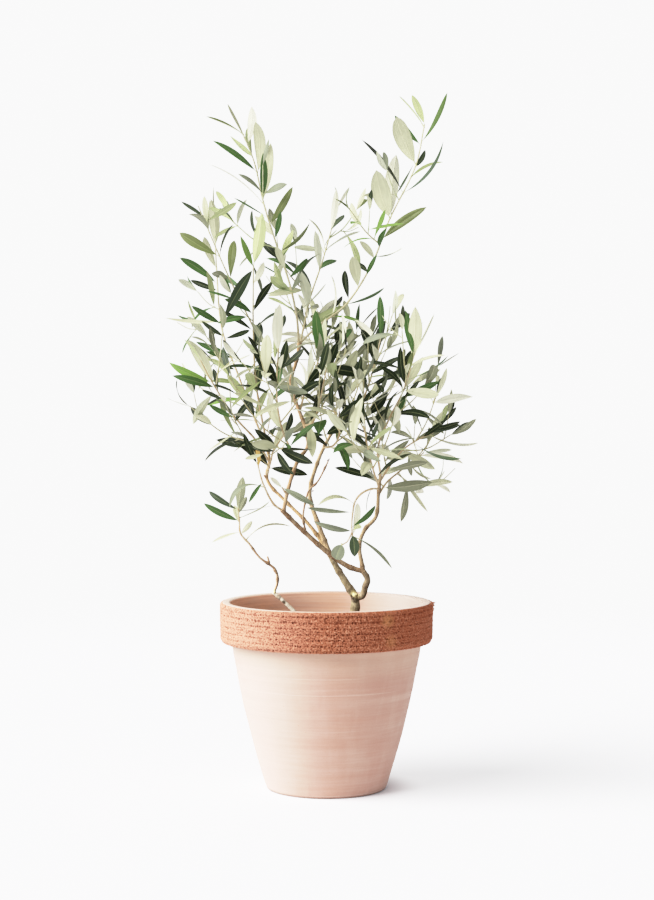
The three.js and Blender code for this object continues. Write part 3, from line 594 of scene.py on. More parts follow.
# How one leaf differs from the next: spreads about the usual, and ranges.
ARCH_SPREAD = 0.06
SWAY_SPREAD = 0.05
BLADE_TWIST_SPREAD = 0.8
CURL_SPREAD = 0.16
FOLD_RANGE = (0.4, 2.0)
SLIM_RANGE = (0.62, 1.02)
BLUNT_RANGE = (-0.1, 0.35)
FULL_RANGE = (-0.08, 0.16)
PLACED_TWIST_KEPT = 0.5

# The finer growth that only this model has: short twiglets with small leaves.
TWIGLET_RADIUS = (0.62, 0.4)
TWIGLET_LENGTH = (22, 40)
TWIGLET_AT = (0.25, 0.95)
TWIGLET_ANGLE = (34, 62)
TWIGLET_BARE = 0.2
TWIGLET_STEP = 15
TWIGLET_LEAF = 0.84
BOX_MARGIN = 2


@dataclass
class Tint:
    """What a leaf looks like: the base colours of its top and underside, and how glossy its top is."""
    name: str
    top: tuple
    underside: tuple
    gloss: float = 0.22


TINTS = {
    # The deep tint is painted shade: its top is darker than a leaf's own colour, and its underside darker
    # than the other tints'.
    "d": Tint("deep", (0.0080, 0.0145, 0.0050), (0.20, 0.21, 0.13), 0.09),
    "s": Tint("sage", (0.028, 0.043, 0.021), (0.54, 0.56, 0.38), 0.14),
    "o": Tint("olive", (0.115, 0.140, 0.048), (0.54, 0.55, 0.36), 0.16),
    "g": Tint("green", (0.040, 0.092, 0.021), (0.40, 0.46, 0.22), 0.16),
    "l": Tint("lime", (0.118, 0.215, 0.038), (0.50, 0.57, 0.27), 0.16),
    "v": Tint("silver", (0.158, 0.176, 0.116), (0.56, 0.58, 0.43), 0.2),
    "c": Tint("celadon", (0.46, 0.47, 0.30), (0.70, 0.70, 0.53), 0.16),
    "y": Tint("yellowed", (0.480, 0.300, 0.080), (0.55, 0.42, 0.20)),
}

# The ribs of tops and undersides, and how far each takes its colour from these. Then how far the
# underside's rim turns to the top's colour.
RIB_COLOUR = (0.42, 0.46, 0.20)
RIB_SHARE = 0.28
PALE_RIB_COLOUR = (0.62, 0.60, 0.40)
PALE_RIB_SHARE = 0.5
RIM_SHARE = 0.5

# How strongly ribs, edges and veins show on tops and on undersides, and the undersides' gloss.
TOP_MARKS = (0.75, 0.14, 0.08)
UNDERSIDE_MARKS = (0.8, 0.5, 0.03)
UNDERSIDE_GLOSS = 0.12

# Woody and green twigs and leaf stalks: low in the crown, high in it, and the bloom on them.
TWIG_COLOURS = {
    "leafy_stem": ((0.40, 0.28, 0.15), (0.46, 0.44, 0.26), (0.62, 0.57, 0.42)),
    "green_twig": ((0.36, 0.32, 0.16), (0.38, 0.42, 0.22), (0.60, 0.60, 0.44)),
    "leaf_stalk": ((0.40, 0.40, 0.20), (0.46, 0.48, 0.26), (0.60, 0.60, 0.40)),
}


# A leaf's outline and section, as shares of its length and of half its width.
BLADE_START = 0.055
BLADE_CELLS = (11, 4)
OUTLINE_ROOT = 0.94
OUTLINE_TIP = 0.88
FOLD = 0.028
EDGE_ROLL = 0.012
BLADE_THICKNESS = 0.0055
STALK_RADIUS = 0.0105
STALK_LENGTH = 0.1
STALK_SUNK = 0.006
STALK_DROP = 0.003
STALK_WIDENED = 5.5
STALK_THINNEST = 0.55

# Where along a leaf its twist starts, and the least that its fuller outline reckons with.
TWIST_FROM = 0.3
LEAST_BULGE = 0.03

# The floor: its size, how far under the pot it lies, its colour, how much of its light is its own,
# and how far from the pot's axis that sets in, and then the white of the room.
FLOOR_RADIUS = 7
FLOOR_DROP = 0.0003
FLOOR_COLOUR = (0.866, 0.87, 0.915, 1)
FLOOR_GLOW = 0.45
FLOOR_GLOW_FROM = (0.060, 0.114)
FLOOR_WHITE_FROM = (1.1, 2.1)

# The light of the key and of the room, and the camera's lens.
KEY_COLOUR = (1.0, 0.985, 0.965)
FILL_COLOUR = (0.985, 0.985, 1.0, 1)
WHITE = (1, 1, 1, 1)
SENSOR_HEIGHT = 36
LENS = 72.6
LENS_SHIFT = 0.0006
FURTHEST_SEEN = 100

# How bright a film records a surface: scene brightness, and the share of white that it prints.
FILM_WHITE = 2.2
FILM = [(0.0, 0.0), (0.3, 0.30), (0.6, 0.56), (1.0, 0.78), (1.5, 0.90), (1.85, 0.955), (2.2, 0.975)]


def lerp(low, high, share):
    return low + (high - low) * share


def blend(low, high, share):
    """A colour between two."""
    return tuple(lerp(*pair, share) for pair in zip(low, high))


class Dice:
    """A small repeatable random source."""

    def __init__(self, seed):
        self.state = seed

    def roll(self):
        """A number from 0 to 1."""
        self.state = (self.state * 1664525 + 1013904223) % 2**32
        return self.state / 2**32

    def spread(self, most):
        """A number from -most to most."""
        return (self.roll() * 2 - 1) * most

    def within(self, low, high):
        """A number from low to high."""
        return lerp(low, high, self.roll())

    def pick(self, choices):
        return choices[int(self.roll() * len(choices))]


@dataclass
class Frame:
    """A place on a line, the way the line heads there and two directions across it."""
    point: Vector
    along: Vector
    side: Vector
    across: Vector

    def outward(self, roll):
        """The direction across the line at a roll round it, in degrees."""
        turn = math.radians(roll)
        return self.side * math.cos(turn) + self.across * math.sin(turn)


class Line:
    """A smooth line through points, measured along its length: a centripetal Catmull-Rom spline."""
    CUTS = 200
    NUDGE = 0.0001

    def __init__(self, points):
        self.points = [Vector(point) for point in points]
        before = 2 * self.points[0] - self.points[1]
        after = 2 * self.points[-1] - self.points[-2]
        knots = [before, *self.points, after]
        self.spans = [self.span(*knots[i:i + 4]) for i in range(len(self.points) - 1)]
        places = [self.place(i / self.CUTS) for i in range(self.CUTS + 1)]
        steps = [(b - a).length for a, b in zip(places, places[1:])]
        self.marks = np.concatenate([[0.0], np.cumsum(steps)])
        self.length = float(self.marks[-1])

    @staticmethod
    def span(a, b, c, d):
        """The four terms of the cubic from b to c, whose slopes there follow a and d."""
        before, middle, after = (math.sqrt((q - p).length) for p, q in ((a, b), (b, c), (c, d)))
        start = ((b - a) / before - (c - a) / (before + middle) + (c - b) / middle) * middle
        end = ((c - b) / middle - (d - b) / (middle + after) + (d - c) / after) * middle
        return b, start, 3 * (c - b) - 2 * start - end, 2 * (b - c) + start + end

    def place(self, t):
        """The point at t of the points' own count, from 0 to 1."""
        at = min(max(t, 0), 1) * len(self.spans)
        i = min(int(at), len(self.spans) - 1)
        w = at - i
        terms = self.spans[i]
        return terms[0] + (terms[1] + (terms[2] + terms[3] * w) * w) * w

    def share(self, u):
        """The t that stands at the share u of the length."""
        return float(np.interp(u * self.length, self.marks, np.arange(self.CUTS + 1))) / self.CUTS

    def at(self, u):
        return self.place(self.share(u))

    def frame(self, u):
        """The frame at the share u of the length."""
        reach = self.points[-1] - self.points[0]
        reference = AWAY if abs(reach.y) < 0.8 * reach.length else UP
        t = self.share(u)
        along = (self.place(t + self.NUDGE) - self.place(t - self.NUDGE)).normalized()
        side = along.cross(reference).normalized()
        return Frame(self.place(t), along, side, side.cross(along))


def between(along, outward, angle):
    """The direction that stands at an angle, in degrees, from one direction towards another."""
    turn = math.radians(angle)
    return along * math.cos(turn) + outward * math.sin(turn)


def pick(*pieces):
    """Select only these objects, and make the first one active."""
    bpy.ops.object.select_all(action="DESELECT")
    for piece in pieces:
        piece.select_set(True)
    bpy.context.view_layer.objects.active = pieces[0]


def added(operator, **settings):
    """What an operator adds, with nothing else selected."""
    bpy.ops.object.select_all(action="DESELECT")
    operator(**settings)
    return bpy.context.active_object


def finish_with(piece, kind, **settings):
    """Add a modifier with these settings to a piece and apply it."""
    pick(piece)
    modifier = piece.modifiers.new(kind.title(), kind)
    for name, value in settings.items():
        setattr(modifier, name, value)
    bpy.ops.object.modifier_apply(modifier=modifier.name)


def hand_over(piece, slot, *nodes):
    """Let a finished piece ride on the plant's one body and stand for its solids; `slot` is not used."""
    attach(piece, "root")
    if nodes:
        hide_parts(*nodes)


def vertex_places(mesh):
    places = np.empty(len(mesh.vertices) * 3)
    mesh.vertices.foreach_get("co", places)
    return places.reshape(-1, 3)


def vertex_normals(mesh):
    normals = np.empty(len(mesh.vertices) * 3)
    mesh.vertices.foreach_get("normal", normals)
    return normals.reshape(-1, 3)


def set_places(mesh, places):
    mesh.vertices.foreach_set("co", np.asarray(places).ravel())
    mesh.update()


def taken_apart(piece):
    """The places and faces of a shape that is only there to be copied, which is then removed."""
    places = vertex_places(piece.data)
    faces = [tuple(face.vertices) for face in piece.data.polygons]
    bpy.data.objects.remove(piece)
    return places, faces


def wear(x, y, z, size):
    """Smooth noise from -1 to 1 at a place in millimetres, whose lumps are about `size` long."""
    return noise.noise(Vector((x / size[0], y / size[1], z / size[2])))


def store(mesh, name, values):
    """Keep one number for each vertex where a shader can read it."""
    layer = mesh.attributes.new(name, "FLOAT", "POINT")
    layer.data.foreach_set("value", np.asarray(values, dtype=np.float32))


def smoothed(piece, degrees):
    pick(piece)
    bpy.ops.object.shade_smooth_by_angle(angle=math.radians(degrees))


class Socket:
    """A shader value that adds, subtracts and multiplies as a number does."""

    def __init__(self, finish, socket):
        self.finish = finish
        self.socket = socket

    def maths(self, operation, first, second):
        return self.finish.node("ShaderNodeMath", {"operation": operation}, {0: first, 1: second})

    def __add__(self, other):
        return self.maths("ADD", self, other)

    def __radd__(self, other):
        return self.maths("ADD", other, self)

    def __sub__(self, other):
        return self.maths("SUBTRACT", self, other)

    def __rsub__(self, other):
        return self.maths("SUBTRACT", other, self)

    def __mul__(self, other):
        return self.maths("MULTIPLY", self, other)

    def __rmul__(self, other):
        return self.maths("MULTIPLY", other, self)


class Finish:
    """One material and the nodes that it is made of."""

    def __init__(self, name, **constants):
        self.material = bpy.data.materials.new(name)
        self.material.use_nodes = True
        self.tree = self.material.node_tree
        self.shader = self.tree.nodes["Principled BSDF"]
        for socket, value in constants.items():
            self.shader.inputs[socket.replace("_", " ")].default_value = value

    def node(self, kind, settings, sockets, output=0):
        """A node of a kind with its settings and the values or links of its sockets."""
        made = self.tree.nodes.new(kind)
        for name, value in settings.items():
            setattr(made, name, value)
        for name, value in sockets.items():
            if isinstance(value, Socket):
                self.tree.links.new(value.socket, made.inputs[name])
            else:
                made.inputs[name].default_value = value
        return Socket(self, made.outputs[output])

    def place(self, stretch=(1, 1, 1), shift=(0, 0, 0)):
        """The piece's own coordinates, stretched along each axis."""
        own = self.node("ShaderNodeTexCoord", {}, {}, "Object")
        scale = [1 / share for share in stretch]
        return self.node("ShaderNodeMapping", {}, {"Vector": own, "Location": shift, "Scale": scale})

    def grain(self, size, detail=3, stretch=(1, 1, 1), shift=(0, 0, 0), rough=0.5):
        """Noise from 0 to 1 whose grains are about `size` millimetres, longer where stretched."""
        sockets = {"Vector": self.place(stretch, shift), "Scale": 1 / (size * MM), "Detail": detail,
                   "Roughness": rough}
        return self.node("ShaderNodeTexNoise", {}, sockets)

    def attribute(self, name, output="Fac"):
        return self.node("ShaderNodeAttribute", {"attribute_name": name}, {}, output)

    def split(self, vector, axis):
        return self.node("ShaderNodeSeparateXYZ", {}, {"Vector": vector}, axis)

    def mask(self, value, low, high):
        """0 where the value is under low, 1 where it is over high, and smooth in between."""
        sockets = {"Value": value, "From Min": low, "From Max": high}
        return self.node("ShaderNodeMapRange", {"interpolation_type": "SMOOTHSTEP"}, sockets)

    def left_side_share(self, start, full):
        """0 less than `start` metres left of the axis, rising to 1 at `full`: the side that the key light
        comes from, where colours are painted light and shade.
        """
        return self.mask(-1 * self.split(self.place(), "X"), start, full)

    def mix(self, share, low, high):
        """A colour between two."""
        ends = [end if isinstance(end, Socket) else (*end[:3], 1) for end in (low, high)]
        return self.node("ShaderNodeMix", {"data_type": "RGBA"}, {0: share, 6: ends[0], 7: ends[1]}, 2)

    def layered(self, base, *layers):
        """A colour under others, each with the share that it covers."""
        for share, over in layers:
            base = self.mix(share, base, over)
        return base

    def bump(self, height, depth, under=None):
        """A relief of this many millimetres, on top of another one where there is one."""
        sockets = {"Height": height, "Distance": depth * MM}
        if under:
            sockets["Normal"] = under
        return self.node("ShaderNodeBump", {}, sockets)

    def wire(self, **sockets):
        """Link values that change over the surface to the shader's sockets."""
        for name, value in sockets.items():
            self.tree.links.new(value.socket, self.shader.inputs[name.replace("_", " ")])
        return self.material


# Materials of the pot

def clay_finish(settings):
    """Pale fired clay: slip streaks that run round it, dust, specks and a foot darker at its bottom edge.
    Its left side is painted paler as painted light, and the lip's crest at the right has a painted
    highlight.
    """
    clay = Finish("thrown_clay", Specular_IOR_Level=0.25, Sheen_Weight=0.12, Sheen_Roughness=0.5)
    height = clay.split(clay.place(), "Z")
    broad = clay.mask(clay.grain(9, 3, (34, 34, 1)), 0.36, 0.66)
    fine = clay.mask(clay.grain(2.2, 4, (24, 24, 1), (0, 0, 0.3), rough=0.6), 0.42, 0.66)
    line = clay.mask(clay.grain(3.4, 1, (95, 95, 1), (0, 0, 0.7)), 0.70, 0.72)
    dust = clay.mask(clay.grain(24, 4, (4, 4, 1), (0.2, 0, 0)), 0.38, 0.66)
    smear = clay.mask(clay.grain(13, 2, (1, 1, 7), (0.7, 0, 0)), 0.42, 0.66)
    sand = clay.grain(1.5, 2, shift=(0.3, 0, 0)) - 0.5
    streaks = broad * 0.15 + fine * 0.13 + dust * 0.16 + smear * 0.13 + sand * 0.30
    rust = clay.mask(clay.grain(16, 3, (5, 5, 1), (0.5, 0, 0)), 0.55, 0.75)
    shoulder = clay.mask(height, 0.120, 0.165)
    specks = clay.mask(clay.grain(1.3, 1, shift=(0, 0.4, 0)), 0.735, 0.78)
    # Painted highlight: the top of the lip on the right side is made paler.
    crest_highlight = clay.mask(height, 0.2070, 0.2094) * (1 - clay.left_side_share(-0.095, -0.005))
    # The clay is darker towards the foot's bottom edge.
    foot = 1 - clay.mask(height, 0.0006, 0.0035)
    base = clay.layered(
        settings.clay,
        (streaks, settings.slip),
        # Painted light: the left side is made paler, as if the key light fell on it.
        (clay.left_side_share(-0.015, 0.085) * 0.72, settings.lit_clay),
        (line * 0.22, settings.slip_line),
        (rust * 0.15, RUST),
        (shoulder * 0.35, SHOULDER_CLAY),
        (specks * 0.5, SPECK),
        (crest_highlight * 0.75, settings.lit_mouth),
        (foot * 0.55, FOOT_DARKENING))
    rings = clay.bump(clay.grain(1.6, 2, (40, 40, 1), (0, 0.9, 0)), 0.16)
    normal = clay.bump(clay.grain(0.7, 3), 0.05, rings)
    return clay.wire(Base_Color=base, Roughness=0.88 - 0.14 * streaks, Normal=normal)


def mouth_finish(settings):
    """The inside of the pot: barer, more orange clay with rings from the wheel. Its shaded left wall is
    painted brighter orange as painted bounce light, and its right side paler as painted light.
    """
    clay = Finish("mouth_clay", Specular_IOR_Level=0.2)
    rings = clay.grain(2.6, 2, (40, 40, 1))
    lit_mouth = 1 - clay.left_side_share(-0.095, -0.005)
    stain = clay.mask(clay.grain(30, 3, (2, 2, 0.6)), 0.5, 0.75)
    base = clay.layered(
        settings.mouth,
        (clay.mask(rings, 0.35, 0.65) * 0.3, settings.slip),
        # Painted bounce light on the shaded left wall, then painted light on the right side.
        (clay.left_side_share(0.035, 0.095) * 0.8, BOUNCE_ORANGE),
        (lit_mouth * 0.85, settings.lit_mouth),
        (stain * 0.2, MOUTH_STAIN))
    normal = clay.bump(clay.grain(0.8, 3), 0.06, clay.bump(rings, 0.35))
    return clay.wire(Base_Color=base, Normal=normal, Roughness=0.92 - 0.06 * stain)


def band_finish(settings):
    """Torn red clay with two lime stains: darker in its pits and paler on its ridges, painted lit on its
    left side and shaded on its right.
    """
    band = Finish("torn_clay", Specular_IOR_Level=0.15)
    relief = band.attribute("relief")
    tear = band.grain(1.3, 3, (1.4, 1.4, 1), rough=0.65)
    level = relief + (tear - 0.5) * 3.8
    # The pits are darker and the ridges paler, partly in the clay's own colour and partly as painted
    # shade in the pits and painted light on the ridges.
    clay_share = band.mask(level, -0.75, 0.1)
    cloud = band.mask(band.grain(26, 3, (2, 2, 1), (0.3, 0, 0)), 0.45, 0.7)
    # Painted light makes the band's left side paler, and painted shade makes its right side darker and
    # redder.
    lit_left = band.left_side_share(-0.005, 0.112)
    shaded_right = 1 - band.left_side_share(-0.1, -0.01)
    base = band.layered(
        settings.band_pit,
        (clay_share, settings.band_clay),
        (band.mask(level, 0.1, 0.8), settings.band_ridge),
        (cloud * 0.2, BAND_CLOUD),
        (lit_left * (0.20 + 0.62 * clay_share), settings.band_lit_side),
        (shaded_right * 0.5, settings.band_shaded_side))
    for place, radius, strength in LIME_STAINS:
        centre = tuple(part * MM for part in place)
        sockets = {0: band.place(), 1: centre}
        away = band.node("ShaderNodeVectorMath", {"operation": "DISTANCE"}, sockets, "Value")
        stain = 1 - band.mask(away + (tear - 0.5) * 0.016, 0, radius * MM)
        base = band.mix(stain * strength, base, LIME_STAIN)
    normal = band.bump(band.grain(0.45, 3), 0.22, band.bump(tear, 0.5))
    return band.wire(Base_Color=base, Normal=normal, Roughness=0.96 - 0.06 * cloud)


def soil_finish():
    """Damp potting soil with paler fibres."""
    soil = Finish("potting_soil", Specular_IOR_Level=0.3)
    lumps = soil.mask(soil.grain(3.5, 5), 0.35, 0.7)
    fibre = soil.mask(soil.grain(1.5, 2, (4, 1, 1)), 0.68, 0.75)
    base = soil.layered(SOIL_DARK, (lumps, SOIL_LIGHT), (fibre * 0.7, SOIL_FIBRE))
    normal = soil.bump(soil.grain(1.2, 4), 0.5)
    return soil.wire(Base_Color=base, Normal=normal, Roughness=0.97 - 0.2 * lumps)


def bits_finish(bits):
    """Bits of bark or grit that lie on the soil."""
    finish = Finish(bits.name, Specular_IOR_Level=0.3)
    base = finish.mix(finish.mask(finish.grain(4, 4), 0.35, 0.65), bits.dark, bits.light)
    normal = finish.bump(finish.grain(0.9, 3, (1, 3, 1)), 0.25)
    return finish.wire(Base_Color=base, Normal=normal)


# Materials of the plant

def bark_finish():
    """Young olive bark: each limb's own tone, painted lighter and darker on its sides as painted light
    and shade, with pale bloom, dark nodes, cracks and pores.
    """
    bark = Finish("olive_bark", Specular_IOR_Level=0.2)
    tone = bark.attribute("bark_tone", "Color")
    # The patterns below are faint where the tone is bright: on dead wood, calluses and the side painted
    # lit.
    dim_tone = 1 - bark.mask(bark.split(tone, "X"), 0.64, 0.82) * 0.8
    bloom = bark.mask(bark.grain(6, 4, (1, 1, 2)), 0.46, 0.62)
    shade = bark.mask(bark.grain(5, 4, (1, 1, 2.5), (0.3, 0, 0)), 0.50, 0.66)
    ring = bark.attribute("knot") * bark.mask(bark.grain(2.2, 2, shift=(0, 0, 0.6)), 0.30, 0.54)
    crack = bark.mask(bark.grain(1.1, 3, (1, 1, 6)), 0.58, 0.68)
    pore = bark.mask(bark.grain(1.0, 1, (1.4, 1.4, 1), (0, 0.3, 0)), 0.69, 0.74)
    base = bark.layered(
        tone,
        (bloom * dim_tone * 0.22, BARK_BLOOM),
        (shade * dim_tone * 0.34, BARK_SHADE),
        (ring * dim_tone * 0.85, BARK_RING),
        (crack * dim_tone * 0.5, BARK_CRACK),
        (pore * 0.45, BARK_PORE))
    coarse = bark.bump(bark.grain(1.2, 3, (1, 1, 5)), 0.5)
    normal = bark.bump(bark.grain(0.5, 3), 0.16, coarse)
    return bark.wire(Base_Color=base, Normal=normal, Roughness=0.88 - 0.12 * bloom)


def bud_finish():
    """Dark reddish-brown scales."""
    bud = Finish("bud_scales", Specular_IOR_Level=0.35)
    scales = bud.mask(bud.grain(0.8, 2), 0.35, 0.65)
    base = bud.mix(scales, BUD_DARK, BUD_LIGHT)
    return bud.wire(Base_Color=base, Roughness=0.75 - 0.2 * scales)


def twig_finish(name):
    """A leafy twig: woodier low in the crown and greener high up, with a pale bloom."""
    low, high, bloom_colour = TWIG_COLOURS[name]
    twig = Finish(name, Specular_IOR_Level=0.3)
    height = twig.split(twig.place(), "Z")
    base = twig.mix(twig.mask(height, 0.42, 0.62), low, high)
    bloom = twig.mask(twig.grain(6, 3), 0.42, 0.68)
    base = twig.mix(bloom * 0.5, base, bloom_colour)
    normal = twig.bump(twig.grain(0.8, 2, (1, 1, 4)), 0.12)
    return twig.wire(Base_Color=base, Normal=normal, Roughness=0.72 - 0.15 * bloom)


def leaf_finish(name, colour, rib, edge, marks, gloss):
    """One side of a leaf: two halves that differ a little, one painted lighter than the other as painted
    light and shade across the fold, a rib, feathered veins and an edge.

    `rib` and `edge` are colours, and `marks` is how strongly the rib, the edge and the veins show.
    """
    leaf = Finish(name, Specular_IOR_Level=gloss)
    own = leaf.node("ShaderNodeUVMap", {"uv_map": "UVMap"}, {})
    along = leaf.split(own, "X")
    across = leaf.split(own, "Y") - 0.5
    away = across.maths("ABSOLUTE", across, 0)
    slant = (along * 46 - away * 34).maths("SINE", along * 46 - away * 34, 0)
    vein = leaf.mask(slant, 0.35, 1.0)
    mottle = leaf.mask(leaf.grain(11, 2), 0.34, 0.66)
    # Painted light and shade: one half of the leaf, across its rib, is made lighter than the other, as if
    # the fold turned it to the light.
    half = leaf.mask(across, -0.03, 0.03)
    stretched = leaf.node("ShaderNodeMapping", {}, {"Vector": own, "Scale": (1.6, 11, 1)})
    sockets = {"Vector": stretched, "W": leaf.grain(90, 1) * 4, "Scale": 1, "Detail": 2}
    streak = leaf.mask(leaf.node("ShaderNodeTexNoise", {"noise_dimensions": "4D"}, sockets), 0.38, 0.62)
    light = mottle * 0.16 + streak * 0.26 + half * 0.30 + (1 - along) * 0.28
    darker = tuple(part * 0.72 for part in colour)
    paler = tuple(min(1, part * 1.23) for part in colour)
    on_rib = 1 - leaf.mask(away, 0.012, 0.052)
    on_edge = leaf.mask(away, 0.41, 0.49)
    base = leaf.layered(
        darker,
        (light, paler),
        (vein * marks[2], rib),
        (on_edge * marks[1], edge),
        (on_rib * marks[0], rib))
    normal = leaf.bump(on_rib * 0.6 + vein * 0.06, 0.12)
    return leaf.wire(Base_Color=base, Normal=normal, Roughness=0.52 - 0.08 * mottle)


# The pot

def pot_radius(height):
    """The pot's outer radius at a height."""
    u = height / BAND_FOOT
    return lerp(FOOT_RADIUS, SHOULDER_RADIUS, u) + SWELL * 4 * u * (1 - u)


def inner_radius(height):
    """The pot's inner radius at a height. Above the band's foot the wall flares a little more."""
    return pot_radius(min(height, BAND_FOOT)) - WALL + max(0, height - BAND_FOOT) * MOUTH_FLARE


def neck_radius():
    return inner_radius(POT_HEIGHT) + NECK_WALL


def thrown_ring(height, depth):
    """What the potter's fingers left at a height: a ring that stands out or in a little."""
    fine = FINE_RING_SHARE * wear(5, 0, height, (1, 1, FINE_RING_LENGTH))
    return depth * (wear(0, 0, height, (1, 1, RING_LENGTH)) + fine)


def rounded(centre, radius, first, last, count=5):
    """Points on a quarter or less of a circle, from one angle to another in degrees."""
    turns = [math.radians(lerp(first, last, i / (count - 1))) for i in range(count)]
    return [(centre[0] + radius * math.cos(a), centre[1] + radius * math.sin(a)) for a in turns]


def pot_profile(ring):
    """The pot's profile from the middle of its foot, up its outside and down its inside."""
    lip_foot = POT_HEIGHT - LIP_THICKNESS
    mouth = inner_radius(POT_HEIGHT)
    outside_rows = int((BAND_FOOT + ROWS_BEHIND_BAND - FOOT_CHAMFER) / POT_ROW)
    heights = [FOOT_CHAMFER + i * POT_ROW for i in range(1, outside_rows + 1)]
    foot_corner = (FOOT_RADIUS - FOOT_CHAMFER + FOOT_ROUND_OUT, FOOT_CHAMFER)
    profile = [(0, 0), (FOOT_RADIUS / 2, 0), *rounded(foot_corner, FOOT_CHAMFER, -90, -8)]
    profile += [(pot_radius(min(z, BAND_FOOT)) + thrown_ring(z, ring), z) for z in heights]
    profile += [(neck_radius(), BAND_FOOT + BAND_TUCK), (neck_radius(), lip_foot)]
    lip_centre = (LIP_RADIUS - LIP_ROUND, POT_HEIGHT - LIP_ROUND)
    profile += [(LIP_RADIUS - LIP_UNDERCUT[0], lip_foot), (LIP_RADIUS, lip_foot + LIP_UNDERCUT[1])]
    profile += rounded(lip_centre, LIP_ROUND, 0, 90)
    profile += rounded((mouth + MOUTH_ROUND, POT_HEIGHT - MOUTH_ROUND), MOUTH_ROUND, 90, 180, 7)
    inside_top = POT_HEIGHT - MOUTH_ROUND - MOUTH_ROW
    inside_rows = int((inside_top - SOIL_TOP + ROWS_BELOW_SOIL) / MOUTH_ROW)
    inside = [inside_top - i * MOUTH_ROW for i in range(inside_rows)]
    mouth_ring = ring * MOUTH_RINGS
    profile += [(inner_radius(z) + thrown_ring(z + MOUTH_RINGS_SHIFT, mouth_ring), z) for z in inside]
    profile += [(inner_radius(z), z) for z in (BAND_FOOT, BAND_FOOT / 2, FLOOR + FLOOR_CORNER)]
    profile += [(inner_radius(FLOOR) - FLOOR_CORNER, FLOOR), (0, FLOOR)]
    return profile


def turned(name, profile, steps):
    """A profile of (radius, height) in millimetres, drawn by extruding a point and spun round."""
    piece = added(bpy.ops.mesh.primitive_plane_add, size=MM)
    piece.name = name
    piece.data.name = name
    bpy.ops.object.mode_set(mode="EDIT")
    bpy.ops.mesh.select_all(action="SELECT")
    bpy.ops.mesh.merge(type="CENTER")
    start = profile[0]
    bpy.ops.transform.translate(value=(start[0] * MM, 0, start[1] * MM))
    for (r0, z0), (r1, z1) in zip(profile, profile[1:]):
        move = ((r1 - r0) * MM, 0, (z1 - z0) * MM)
        bpy.ops.mesh.extrude_vertices_move(TRANSFORM_OT_translate={"value": move})
    bpy.ops.mesh.select_all(action="SELECT")
    bpy.ops.mesh.spin(steps=steps, angle=math.tau, center=(0, 0, 0), axis=(0, 0, 1))
    bpy.ops.mesh.select_all(action="SELECT")
    bpy.ops.mesh.remove_doubles(threshold=0.02 * MM)
    bpy.ops.mesh.normals_make_consistent(inside=False)
    bpy.ops.object.mode_set(mode="OBJECT")
    return piece


def make_pot_body(settings):
    """The thrown body with its lip, a little out of round as a hand leaves it."""
    piece = turned("thrown_pot", pot_profile(settings.throwing_rings / MM), POT_STEPS)
    mesh = piece.data
    places = vertex_places(mesh)
    for place in places:
        x, y, z = place / MM
        radius = math.hypot(x, y)
        if radius > 1 and z > FOOT_CHAMFER:
            moved = settings.out_of_round / MM * wear(x, y, z, STRAY_SIZE)
            moved += DIMPLE_DEPTH * wear(x, y, z, DIMPLE_SIZE)
            place[:2] *= 1 + moved / radius
    set_places(mesh, places)
    mesh.materials.append(clay_finish(settings))
    mesh.materials.append(mouth_finish(settings))
    for face in mesh.polygons:
        x, y, z = face.center / MM
        is_inside = math.hypot(x, y) < inner_radius(z) + MOUTH_ROUND and z > FLOOR - 1
        face.material_index = int(is_inside and z < POT_HEIGHT - LIP_ROUND)
    smoothed(piece, 40)
    hand_over(piece, "clay", "pot_body")


def band_profile():
    """The band's ring: its foot, its rows up the outside, its top and its hidden back."""
    foot = BAND_FOOT + GAP
    first = foot + BAND_CORNER / 2
    top = POT_HEIGHT - LIP_SHOWN
    back = neck_radius() - BAND_BACK_GAP
    inner = pot_radius(BAND_FOOT) - BAND_INSET
    outer = pot_radius(BAND_FOOT) + BAND_INSET
    corner = (BAND_RADIUS - BAND_DRAUGHT - BAND_FOOT_IN - BAND_CORNER / 2, first)
    outline = [(inner, foot), (outer, foot)]
    outline += [(lerp(outer, corner[0], i / 6), foot) for i in range(1, 6)]
    outline += rounded(corner, BAND_CORNER / 2, -90, -12, 7)
    rows = int((top - BAND_LAST_ROW - first) / BAND_ROW)
    for i in range(rows + 1):
        z = first + i * BAND_ROW
        radius = lerp(BAND_RADIUS - BAND_DRAUGHT, BAND_RADIUS, min(1, (z - first) / BAND_DRAUGHT_HEIGHT))
        top_edge = max(0, 1 - (top - z) / BAND_TOP_EDGE) ** 2
        low_edge = max(0, 1 - (z - first) / BAND_LOW_EDGE) ** 2
        outline.append((radius - BAND_EDGE_IN * top_edge - BAND_EDGE_IN * low_edge, z))
    outline += [(BAND_RADIUS - part, top) for part in BAND_TOP_IN]
    outline += [(back, top), (back, BAND_FOOT + BAND_TUCK), (inner, BAND_FOOT + BAND_TUCK - 1)]
    return [*outline, outline[0]]


def pit_rows(length):
    """Every pit of the band: how far round it is, how far up, how large and how deep, 0 to 1."""
    dice = Dice(7)
    for row in range(int(BAND_HEIGHT / PIT_ROW)):
        strength = PIT_STRENGTHS[row % 2]
        level = (row + FIRST_ROW) * PIT_ROW
        for k in range(int(length / PIT_STEP)):
            around = (k + dice.within(*PIT_PLACES)) * PIT_STEP
            drift = PIT_DRIFT * wear(around, row * 50, 0, (24, 1, 1))
            up = level + drift + dice.spread(PIT_SPREAD)
            coarse = 1 + COARSER_TOP * (up > BAND_HEIGHT - ROUGH_TOP) * dice.roll()
            size = [part * coarse * dice.within(*PIT_SIZES) for part in PIT_SIZE]
            yield around, up, size, strength * dice.within(*PIT_DEPTHS)


